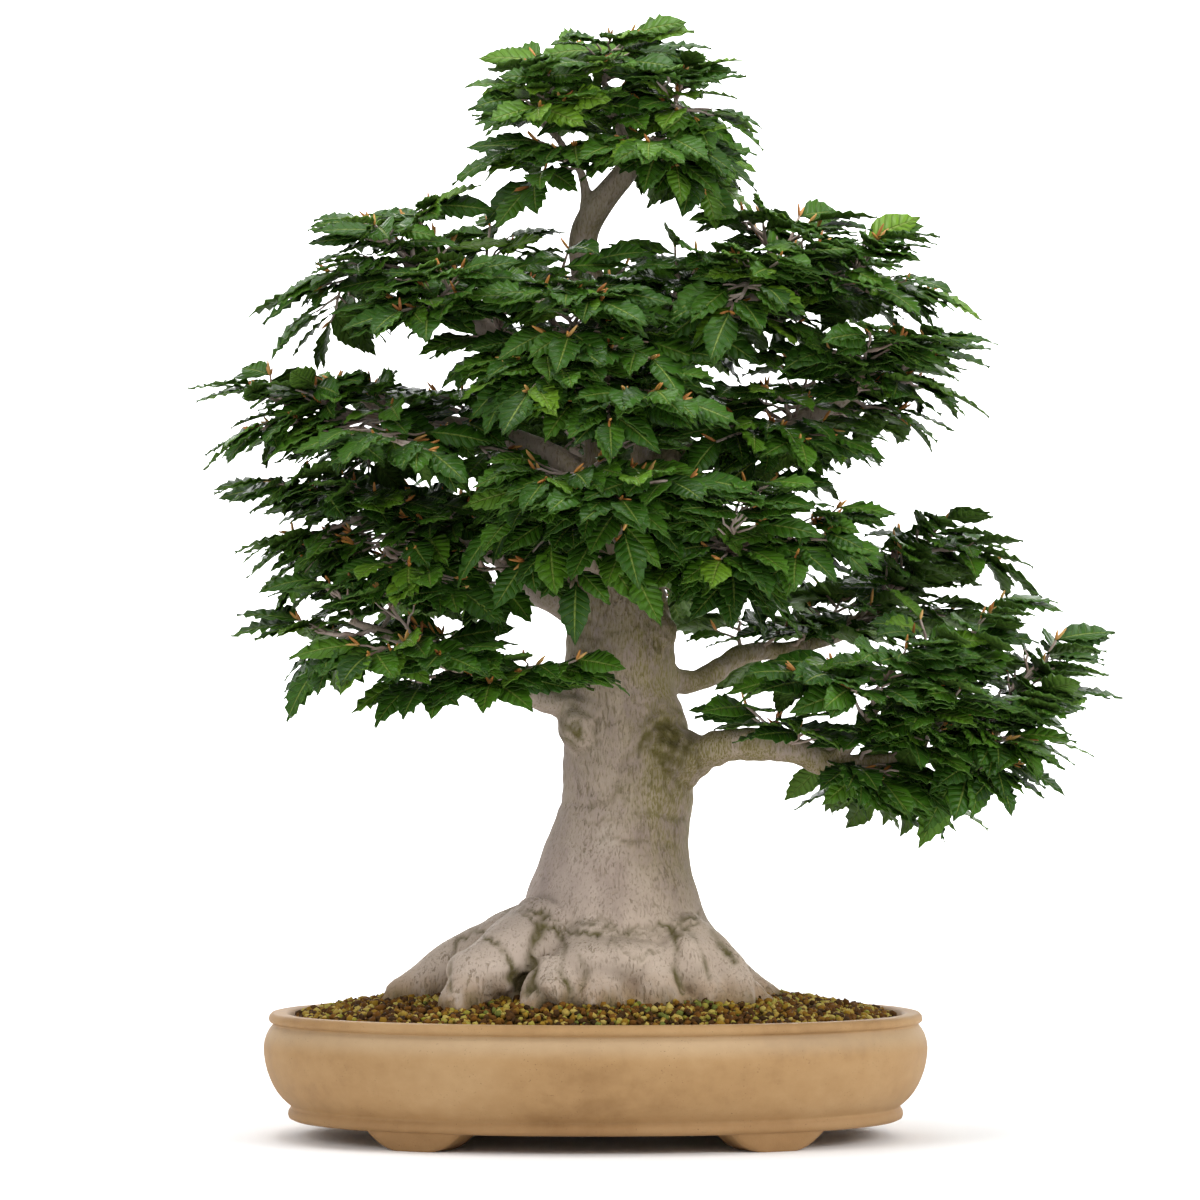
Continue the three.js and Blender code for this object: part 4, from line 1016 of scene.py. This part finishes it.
def grow_spray(stem):
    """The twigs, as start, end and place, and the leaves of one stem."""
    length = stem.length()
    count = max(3, half_up(length / TWIG_SPACING))
    twigs, leaves = [], []
    side = 1 if draw() < 0.5 else -1
    for k in range(count):
        place = 0.26 + 0.5 * (k + 0.5) / count
        start, ahead = stem.point(place), stem.heading(place)
        turn = math.radians(TWIG_SLANT + spread(12))
        heading = ahead * math.cos(turn) + ahead.cross(UP).normalized() * (side * math.sin(turn))
        heading = (heading + UP * (0.08 + spread(0.22))).normalized()
        reach = length * (0.5 - 0.34 * place) * (0.85 + 0.3 * draw())
        reach = min(LONGEST_TWIG, max(SHORTEST_TWIG, reach))
        end = start + heading * reach
        nodes = max(1, half_up(reach / LEAF_SPACING) - 1)
        leaf_side = side
        for j in range(nodes):
            base = start.lerp(end, (j + 1) / (nodes + 1))
            aside = heading.cross(UP).normalized() * (leaf_side * 0.8)
            leaves.append(grow_leaf(base, heading * 0.6 + aside))
            leaf_side = -leaf_side
        leaves.append(grow_leaf(end, heading))
        twigs.append((start, end, place))
        side = -side
    outer = max(2, half_up(length / TIP_LEAF_SPACING))
    for k in range(outer):
        place = 0.78 + 0.18 * (k + 0.5) / outer
        ahead = stem.heading(place)
        heading = ahead * 0.62 + ahead.cross(UP).normalized() * (side * 0.78)
        leaves.append(grow_leaf(stem.point(place), heading))
        side = -side
    leaves.append(grow_leaf(stem.point(1), stem.heading(1)))
    return twigs, leaves


# %% [markdown]
# A stem starts on its limb a little behind the point that is nearest to its tip, because shoots grow
# forwards. Where another stem is already there, it moves back by one spacing. The stems of a
# branchlet after the first start on that one in the same way.

# %% Branchlets
def start_place(curve, tip, least, taken):
    """Where a stem leaves its limb: behind the nearest point, clear of the stems already there."""
    gaps = [((curve.point(k / 60) - Vector(tip)).length, k / 60) for k in range(61)]
    gap, nearest = min(gaps, key=lambda pair: pair[0])
    chord = (curve.point(1) - curve.point(0)).length
    place = max(least, nearest - 0.45 * gap / chord)
    step = STEM_SPACING / chord
    while any(abs(other - place) < step * 0.99 for other in taken) and place - step > 0.05:
        place -= step
    taken.append(place)
    return place


def grow_stem(curve, place, tip):
    """A stem that leaves the curve along it and then bends up to its tip."""
    end, start = Vector(tip), curve.point(place)
    reach = (end - start).length
    middle = start + curve.heading(place) * (0.24 * reach) + (end - start) * 0.24 + UP * (0.05 * reach)
    return Bend([start, middle, end])


branchlets = {}
for limb_name, (route, _, tip_lists) in LIMBS.items():
    limb_curve, taken = Route(route), []
    for order, tips in enumerate(tip_lists, 1):
        main = grow_stem(limb_curve, start_place(limb_curve, tips[0], 0.12, taken), tips[0])
        forked, grown = [], []
        for k, tip in enumerate(tips):
            stem = main if k == 0 else grow_stem(main, start_place(main, tip, 0.4, forked), tip)
            grown.append((stem, *grow_spray(stem)))
        branchlets[f"spray_{limb_name}_{order}"] = grown


def count_leaves(grown_by_name):
    """All the leaves of some branchlets or shoots."""
    return sum(len(leaves) for grown in grown_by_name.values() for _, _, leaves in grown)


print(len(branchlets), "branchlets with", count_leaves(branchlets), "leaves")

# %% [markdown]
# A trained beech is much denser than its main branchlets. So every stem gets a second set of twigs.
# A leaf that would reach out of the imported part's room is left out.

# %% Denser growth
ROOM = 7
low_corner, high_corner = (PLACE.inverted() @ Vector(corner) for corner in cad_box)


def in_room(leaf_entry):
    """Whether a leaf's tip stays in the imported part's box, give or take the room."""
    base, along, face, length, droop = leaf_entry
    tip = base + along * length - face * (droop * length)
    return all(low - ROOM < v < high + ROOM for low, v, high in zip(low_corner, tip, high_corner))


for grown in branchlets.values():
    for stem, twigs, leaves in grown:
        more_twigs, more_leaves = grow_spray(stem)
        twigs += more_twigs
        leaves += [entry for entry in more_leaves if in_room(entry)]
print("with the second twigs", count_leaves(branchlets), "leaves")

# %% [markdown]
# Some shoots hang in front of the trunk, and others close the gaps round the leader and between the
# pads. A row of HANGING is a limb, a place along it and the tips of the shoots that start there.
# Short shoots also stand along every limb, left and right in turn.

# %% Shoots
SHOOT_SPACING = 26
SHORTEST_SHOOT = 34
HANGING = [
    ("front", 0.55, [(-52, -112, 428), (-14, -128, 412), (28, -126, 420), (66, -108, 436)]),
    ("front", 0.85, [(-72, -118, 452), (20, -150, 448), (84, -118, 462)]),
    ("front_upper", 0.7, [(-60, -120, 560), (40, -130, 575), (-20, -140, 590)]),
    ("left_low", 0.25, [(-44, -96, 352), (-14, -92, 356)]),
    ("left_mid", 0.3, [(-70, -60, 402), (-100, -40, 440), (-60, 30, 450)]),
    ("right_low", 0.3, [(112, -84, 322), (150, -92, 306)]),
    ("right_mid", 0.4, [(96, -96, 410), (60, -90, 430), (130, -40, 490)]),
    ("left_upper", 0.4, [(-70, -60, 500), (-100, -50, 560), (-60, -30, 566)]),
    ("left_top", 0.4, [(-70, -70, 580), (-90, 0, 640), (-50, -50, 640)]),
    ("left_top", 0.1, [(-20, -66, 664), (22, -62, 650)]),
    ("right_upper", 0.5, [(90, -60, 520), (130, -50, 560), (80, -20, 560), (160, -40, 590)]),
    ("right_top", 0.4, [(60, -70, 600), (90, -70, 660), (60, -30, 670), (150, -40, 610)]),
    ("crown_left", 0.4, [(-50, -30, 716), (-30, -50, 742), (-70, -14, 742)]),
    ("crown_right", 0.4, [(80, -30, 716), (92, -10, 742), (60, -50, 730)]),
]
shoots = {"hanging": []}
for limb_name, place, tips in HANGING:
    for tip in tips:
        stem = grow_stem(Route(LIMBS[limb_name][0]), place, tip)
        twigs, leaves = grow_spray(stem)
        shoots["hanging"].append((stem, twigs, [entry for entry in leaves if in_room(entry)]))
for limb_name, (route, _, _) in LIMBS.items():
    limb_curve = Route(route)
    count = half_up(limb_curve.length() / SHOOT_SPACING)
    shoots[limb_name] = []
    for k in range(count):
        place = 0.34 + 0.64 * (k + draw()) / count
        start, ahead = limb_curve.point(place), limb_curve.heading(place)
        turn = math.radians(25 + 65 * draw()) * (1 if k % 2 else -1)
        heading = ahead * math.cos(turn) + ahead.cross(UP).normalized() * math.sin(turn)
        heading = (heading + UP * (0.1 + spread(0.8))).normalized()
        end = start + heading * (SHORTEST_SHOOT + 36 * draw())
        stem = Bend([start, start.lerp(end, 0.5) + UP * 3, end])
        twigs, leaves = grow_spray(stem)
        shoots[limb_name].append((stem, twigs, [entry for entry in leaves if in_room(entry)]))
print("and the shoots carry", count_leaves(shoots), "leaves")

# %% [markdown]
# ## Leaves
# A beech leaf is an oval, pointed blade with eight or nine veins a side, each ending in a blunt wavy
# tooth. One blade is modelled flat, as a grid with a thickness, and every leaf is a copy of it that is
# pressed into its own shape: folded along the rib, sunk at the veins, rippled at the edge and drooping.

# %% One flat blade
ALONG_STEPS = 12
VEINS = 8
bm = bmesh.new()
bmesh.ops.create_grid(bm, x_segments=ALONG_STEPS, y_segments=2, size=1)
for vert in bm.verts:
    vert.co.x = (vert.co.x + 1) / 2
bmesh.ops.solidify(bm, geom=bm.faces, thickness=-1)
blade = mesh_from(bm, "blade")
flat = places_of(blade)
t, s = flat[:, 0], np.round(flat[:, 1], 3)
lift = flat[:, 2] - flat[:, 2].min()
print("one blade:", triangles(blade), "triangles")

# %% [markdown]
# At each vertex, `t` runs from the stalk to the tip, `s` from edge to edge and `lift` from the
# underside to the upper side. The outline gives the half width along the blade. Every second column
# of the grid is a tooth.

# %% Pressed blades
OUTLINE = [(0, 0.055), (0.07, 0.06), (0.10, 0.24), (0.16, 0.55), (0.25, 0.85), (0.38, 1.0), (0.50, 0.99),
           (0.62, 0.87), (0.74, 0.66), (0.84, 0.44), (0.92, 0.24), (0.97, 0.12), (1.0, 0.02)]


def blade_shape(ripple, fold, curl):
    """The blade pressed into shape, as along, across and up. Its length and half width are 1."""
    width = np.interp(t, *zip(*OUTLINE))
    column = np.round(t * ALONG_STEPS)
    tooth = np.where(column % 2 == 0, 1.0, -1.0) * (np.abs(s) > 0.9) * np.clip((t - 0.08) * 8, 0, 1)
    forward = t + 0.25 / ALONG_STEPS * tooth + 0.05 * np.abs(s) * width * (1 - t)
    across = s * width * (1 + 0.045 * tooth)
    vein = np.cos(2 * np.pi * VEINS * (t - 0.10 * np.abs(s)))
    up = fold * np.abs(across) - 0.10 * (across ** 2)
    up = up + 0.03 * vein * (np.abs(s) > 0.3) * width
    up = up + ripple * tooth * np.sin(6.0 * t + 2.0 * s + curl) * 1.2
    return forward, across, up


BLADE_THICK = 0.6


def leaf_spots(base, along, face, length, droop):
    """Where one leaf's vertices lie, with a fold, a twist and a sway of its own."""
    side = face.cross(along)
    ripple = 0.07 + 0.06 * chance.random()
    forward, across, up = blade_shape(ripple, 0.10 + 0.22 * chance.random(), 6 * chance.random())
    wide = LEAF_HALF_WIDTH * length / LEAF_LENGTH
    twist = (chance.random() - 0.5) * 0.5
    up = up * wide + lift * BLADE_THICK - droop * length * forward ** 2 + twist * across * forward * wide
    sway = (chance.random() - 0.5) * 0.16 * length * forward ** 2
    return (np.array(base) + np.outer(forward * length, along) + np.outer(across * wide + sway, side)
            + np.outer(up, face))


# %% [markdown]
# The upper side is glossy and dark, with a paler green rib and veins sunk into it. The underside is
# paler and dull. `along` and `across` are kept at every vertex, so that the veins follow each blade
# however it hangs, and `tone` makes some leaves older and darker, some young and bright.

# %% Leaf finish
leaf = Finish("beech leaf", Specular_IOR_Level=0.22, Coat_Roughness=0.25, Coat_Weight=0.03)
along, side = leaf.attribute("along"), abs(leaf.attribute("across"))
tone, under = leaf.attribute("tone"), leaf.attribute("under")
swing = (along - 0.13 * side) * VEINS
vein = abs((swing - swing.sum("FLOOR")) - 0.5) * 2
vein_line = leaf.step(vein, 0.80, 0.97) * leaf.step(side, 1.0, 0.75)
rib = leaf.step(side, 0.10, 0.03)
patch = leaf.grain(70, 3)
blade_colour = leaf.ramp(tone, (0.0, (0.010, 0.042, 0.003)), (0.40, (0.026, 0.090, 0.005)),
                         (0.75, (0.062, 0.165, 0.008)), (1.0, (0.150, 0.290, 0.016)))
blade_colour = leaf.blend(blade_colour, (0.040, 0.115, 0.006), patch * 0.35)
blade_colour = leaf.blend(blade_colour, (0.13, 0.235, 0.022), vein_line * 0.5)
blade_colour = leaf.blend(blade_colour, (0.27, 0.36, 0.07), rib * 0.6)
blade_colour = leaf.blend(blade_colour, (0.085, 0.165, 0.022), under * 0.75)
leaf.raised(vein_line * -0.6 + vein * -0.4 - rib * 0.6 + leaf.grain(900, 2) * 0.1, 0.0020, 0.9)
leaf.done(blade_colour, 0.36 + 0.22 * under + 0.12 * patch)

# %% [markdown]
# Each branchlet's leaves become one mesh that replaces the imported sheet. The shoots' leaves have no
# packed sheet. The topmost leaves are painted brighter, as light on the top of the crown: a little
# more of the young tone is theirs.

# %% Leaves in place
TOP_LIGHT_FROM = 600
TOP_LIGHT_OVER = 160
leaf_triangles = 0
groups = [("leaves_" + node[6:], grown, [node]) for node, grown in branchlets.items()]
groups += [("shoots_" + limb, grown, []) for limb, grown in shoots.items() if grown]
for name, grown, nodes in groups:
    places, tones = [], []
    for _, _, leaves in grown:
        for entry in leaves:
            places.append(leaf_spots(*entry))
            # Painted light: leaves higher than TOP_LIGHT_FROM get up to 0.14 more of the bright young tone.
            painted_top_light = 0.14 * min(1, max(0, (entry[0].z - TOP_LIGHT_FROM) / TOP_LIGHT_OVER))
            tones.append(chance.beta(1.7, 2.3) + 0.14 * (chance.random() < 0.15) + painted_top_light)
    mesh = copies(blade, np.array(places), name)
    count = len(places)
    paint(mesh, "along", np.tile(t, count))
    paint(mesh, "across", np.tile(s, count))
    paint(mesh, "under", np.tile((lift < 0.5) * 1.0, count))
    paint(mesh, "tone", np.repeat(np.clip(tones, 0, 1), len(t)))
    add_piece(name, mesh, leaf.material, "leaf", *nodes)
    leaf_triangles += triangles(mesh)
print("leaves:", leaf_triangles, "triangles")

# %% [markdown]
# ## Stems and twigs
# They are thin and a little knobbly, and zigzag from leaf to leaf. Tubes would need a loop for each;
# a curve with a bevel and a radius at every point draws them all at once and is then made a mesh.

# %% Stems and twigs
lines = bpy.data.curves.new("twigs", "CURVE")
lines.dimensions = "3D"
lines.bevel_depth = 1
lines.bevel_resolution = 0
lines.use_fill_caps = True


def draw_wood(points, radii):
    """Adds one line of wood, with its radius at every point."""
    line = lines.splines.new("POLY")
    line.points.add(len(points) - 1)
    for spot, point, radius in zip(line.points, points, radii):
        spot.co = (*point, 1)
        spot.radius = radius


STEM_TIP = 0.9
TWIG_RADII = (1.35, 1.15, 1.0, 0.85, 0.7)
BUDDED_TWIGS = 0.4
bud_spots = []
for _, grown, _ in groups:
    for stem, twigs, _ in grown:
        thick = min(3.2, max(1.8, stem.length() * 0.02)) * 1.1
        marks = np.linspace(0, 1, 9)
        points = [stem.point(mark) for mark in marks]
        for k in range(1, 8):
            points[k] = points[k] + Vector(chance.normal(0, 0.9, 3))
        radii = [thick + (STEM_TIP - thick) * mark + 0.25 * chance.random() for mark in marks]
        draw_wood(points, radii)
        bud_spots.append((stem.point(1), stem.heading(1)))
        for start, end, _ in twigs:
            points = [start.lerp(end, mark) for mark in (0, 0.25, 0.5, 0.75, 1)]
            for k in (1, 2, 3):
                points[k] = points[k] + Vector(chance.normal(0, 0.8, 3))
            draw_wood(points, TWIG_RADII)
            if chance.random() < BUDDED_TWIGS:
                bud_spots.append((end, (end - start).normalized()))
wood = bpy.data.objects.new("twigs", lines)
bpy.context.scene.collection.objects.link(wood)
graph = bpy.context.evaluated_depsgraph_get()
twig_mesh = bpy.data.meshes.new_from_object(wood.evaluated_get(graph))
bpy.data.objects.remove(wood)
twig = Finish("twig bark", Specular_IOR_Level=0.3)
twig_tone = twig.ramp(twig.grain(45, 4), (0.35, (0.25, 0.17, 0.13)), (0.5, (0.40, 0.31, 0.26)),
                      (0.65, (0.52, 0.43, 0.38)))
twig.raised(twig.grain(600, 3), 0.0008, 0.5)
twig.done(twig_tone, 0.7)
add_piece("stems_and_twigs", twig_mesh, twig.material, "bark")
print("twigs:", triangles(twig_mesh), "triangles")

# %% [markdown]
# ## Buds
# Beeches show long copper spindles all year, one to three at the end of a shoot. Each is a small
# sphere drawn out along its own way up, and thicker below its middle.

# %% Buds
BUD_RADIUS = 1.25
bm = bmesh.new()
bmesh.ops.create_uvsphere(bm, u_segments=5, v_segments=5, radius=1)
bmesh.ops.triangulate(bm, faces=bm.faces)
spindle = mesh_from(bm, "bud")
spindle_spots = places_of(spindle)
places = []
for base, heading in bud_spots:
    for _ in range(chance.integers(1, 4)):
        lean = (heading + UP * 0.5 + Vector(chance.normal(0, 0.33, 3))).normalized()
        length = 8 + 6 * chance.random()
        side = lean.cross(Vector((0.3, 1, 0.2))).normalized()
        other = lean.cross(side)
        a, b, up = spindle_spots.T
        swell = 1 - 0.25 * up
        places.append(np.array(base) + np.outer((up + 0.92) / 2 * length, lean)
                      + np.outer(a * BUD_RADIUS * swell, side) + np.outer(b * BUD_RADIUS * swell, other))
bud_mesh = copies(spindle, np.array(places), "buds")
paint(bud_mesh, "tone", np.repeat(chance.random(len(places)), len(spindle_spots)))
bud = Finish("copper bud scales", Specular_IOR_Level=0.4)
bud_tone = bud.ramp(bud.attribute("tone"), (0.0, (0.36, 0.13, 0.035)), (0.6, (0.62, 0.27, 0.06)),
                    (1.0, (0.70, 0.42, 0.14)))
bud.raised(bud.grain(1500, 2), 0.0005, 0.5)
bud.done(bud_tone, 0.5)
add_piece("buds", bud_mesh, bud.material, "leaf")
print(len(places), "buds,", triangles(bud_mesh), "triangles")

# %% [markdown]
# ## Soil
# Bonsai soil is a sieved mix of 3 to 6 mm granules. Only the top layer shows, so a plain mound fills
# the pot under it. The mound is turned from a profile, as the pot was.

# %% Mound
SOIL_EDGE = 88.5
SOIL_RISE = 18
SOIL_REACH = 230


def soil_height(half_length):
    """Flat round the trunk, and falling to the rim in a quarter wave."""
    share = half_length / SOIL_REACH
    return SOIL_EDGE + SOIL_RISE * math.cos(math.pi / 2 * min(1, max(0, (share - 0.4) / 0.6)))


profile = [(0, 26.4), (186.7, 26.4), (211, 34.6), (226.7, 60), (229.4, 88)]
profile += [(SOIL_REACH * share, soil_height(SOIL_REACH * share)) for share in np.linspace(0.985, 0.0, 24)]
mound = turned(profile, 96, "mound")
ground = Finish("soil dust", Specular_IOR_Level=0.1)
ground_tone = ground.ramp(ground.grain(300, 5), (0.4, (0.040, 0.022, 0.004)), (0.6, (0.13, 0.075, 0.012)))
ground.raised(ground.grain(400, 3), 0.002)
ground.done(ground_tone, 0.95)
add_piece("soil_mound", mound, ground.material, "soil", "soil")
print("mound:", triangles(mound), "triangles")

# %% [markdown]
# The granules are fired brown clay, cream pumice and a few orange and mossy bits. Each is an
# icosphere whose corners are pushed in or out, flattened, turned and half sunk in the mound. They
# are scattered over the oval, except under the trunk, and the mossy ones lie in a ring round it.

# %% Granules
bm = bmesh.new()
bmesh.ops.create_icosphere(bm, subdivisions=1, radius=1)
pebble = mesh_from(bm, "granule")
pebble_spots = places_of(pebble)
GRANULES = 6000
places, tones = [], []
while len(places) < GRANULES:
    right, back = chance.uniform(-229, 229), chance.uniform(-169, 169)
    share = (abs(right / 228) ** OVAL_POWER + abs(back / 168) ** OVAL_POWER) ** (1 / OVAL_POWER)
    if share > 0.985 or math.hypot((right - 6) / 86, back / 84) < 1:
        continue
    half = share * 228
    size = 1.7 + 1.6 * chance.random() ** 1.5
    turn = Matrix.Rotation(chance.uniform(0, 6.28), 3, Vector(chance.normal(0, 1, 3)).normalized())
    rough_shape = pebble_spots * (1 + chance.uniform(-0.28, 0.28, (len(pebble_spots), 1)))
    rough_shape = rough_shape * chance.uniform(0.75, 1.15, 3)
    spot = np.array((right, back, soil_height(half) + size * chance.uniform(0.05, 0.75)))
    places.append(rough_shape @ np.array(turn) * size + spot)
    mossy = math.exp(-((math.hypot(right - 5, back) - 120) / 34) ** 2)
    mossy *= 0.5 + 0.5 * math.sin(right * 0.11 + back * 0.07)
    tones.append(chance.random() if chance.random() > 0.30 * mossy else 2 + chance.random())
granule_mesh = copies(pebble, np.array(places), "granules")
paint(granule_mesh, "tone", np.repeat(tones, len(pebble_spots)))
grit = Finish("soil granules", Specular_IOR_Level=0.25)
kind = grit.attribute("tone")
grit_tone = grit.ramp(kind, (0.0, (0.030, 0.014, 0.003)), (0.3, (0.11, 0.042, 0.006)),
                      (0.55, (0.22, 0.088, 0.008)), (0.72, (0.36, 0.21, 0.015)), (0.88, (0.62, 0.48, 0.12)),
                      (1.0, (0.30, 0.29, 0.02)))
grit_tone = grit.blend(grit_tone, (0.17, 0.20, 0.035), grit.step(kind, 1.4, 1.6))
grit_tone = grit.blend(grit_tone, (0.06, 0.032, 0.006), grit.grain(500, 3) * 0.4)
grit.raised(grit.grain(1400, 3), 0.0008, 0.7)
grit.done(grit_tone, 0.9)
add_piece("soil_granules", granule_mesh, grit.material, "soil")
print("granules:", triangles(granule_mesh), "triangles")

# %% [markdown]
# ## The drain meshes
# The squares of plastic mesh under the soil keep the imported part's shape and only get their finish.

# %% Drain meshes
plastic = Finish("green plastic mesh")
plastic_tone = plastic.ramp(plastic.grain(200, 2), (0.4, (0.012, 0.03, 0.018)), (0.6, (0.03, 0.06, 0.035)))
plastic.raised(plastic.grain(800, 2), 0.0003, 0.4)
plastic.done(plastic_tone, 0.5)
for name in ("drain_mesh_left", "drain_mesh_right"):
    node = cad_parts[name]
    node.data.materials.clear()
    node.data.materials.append(plastic.material)
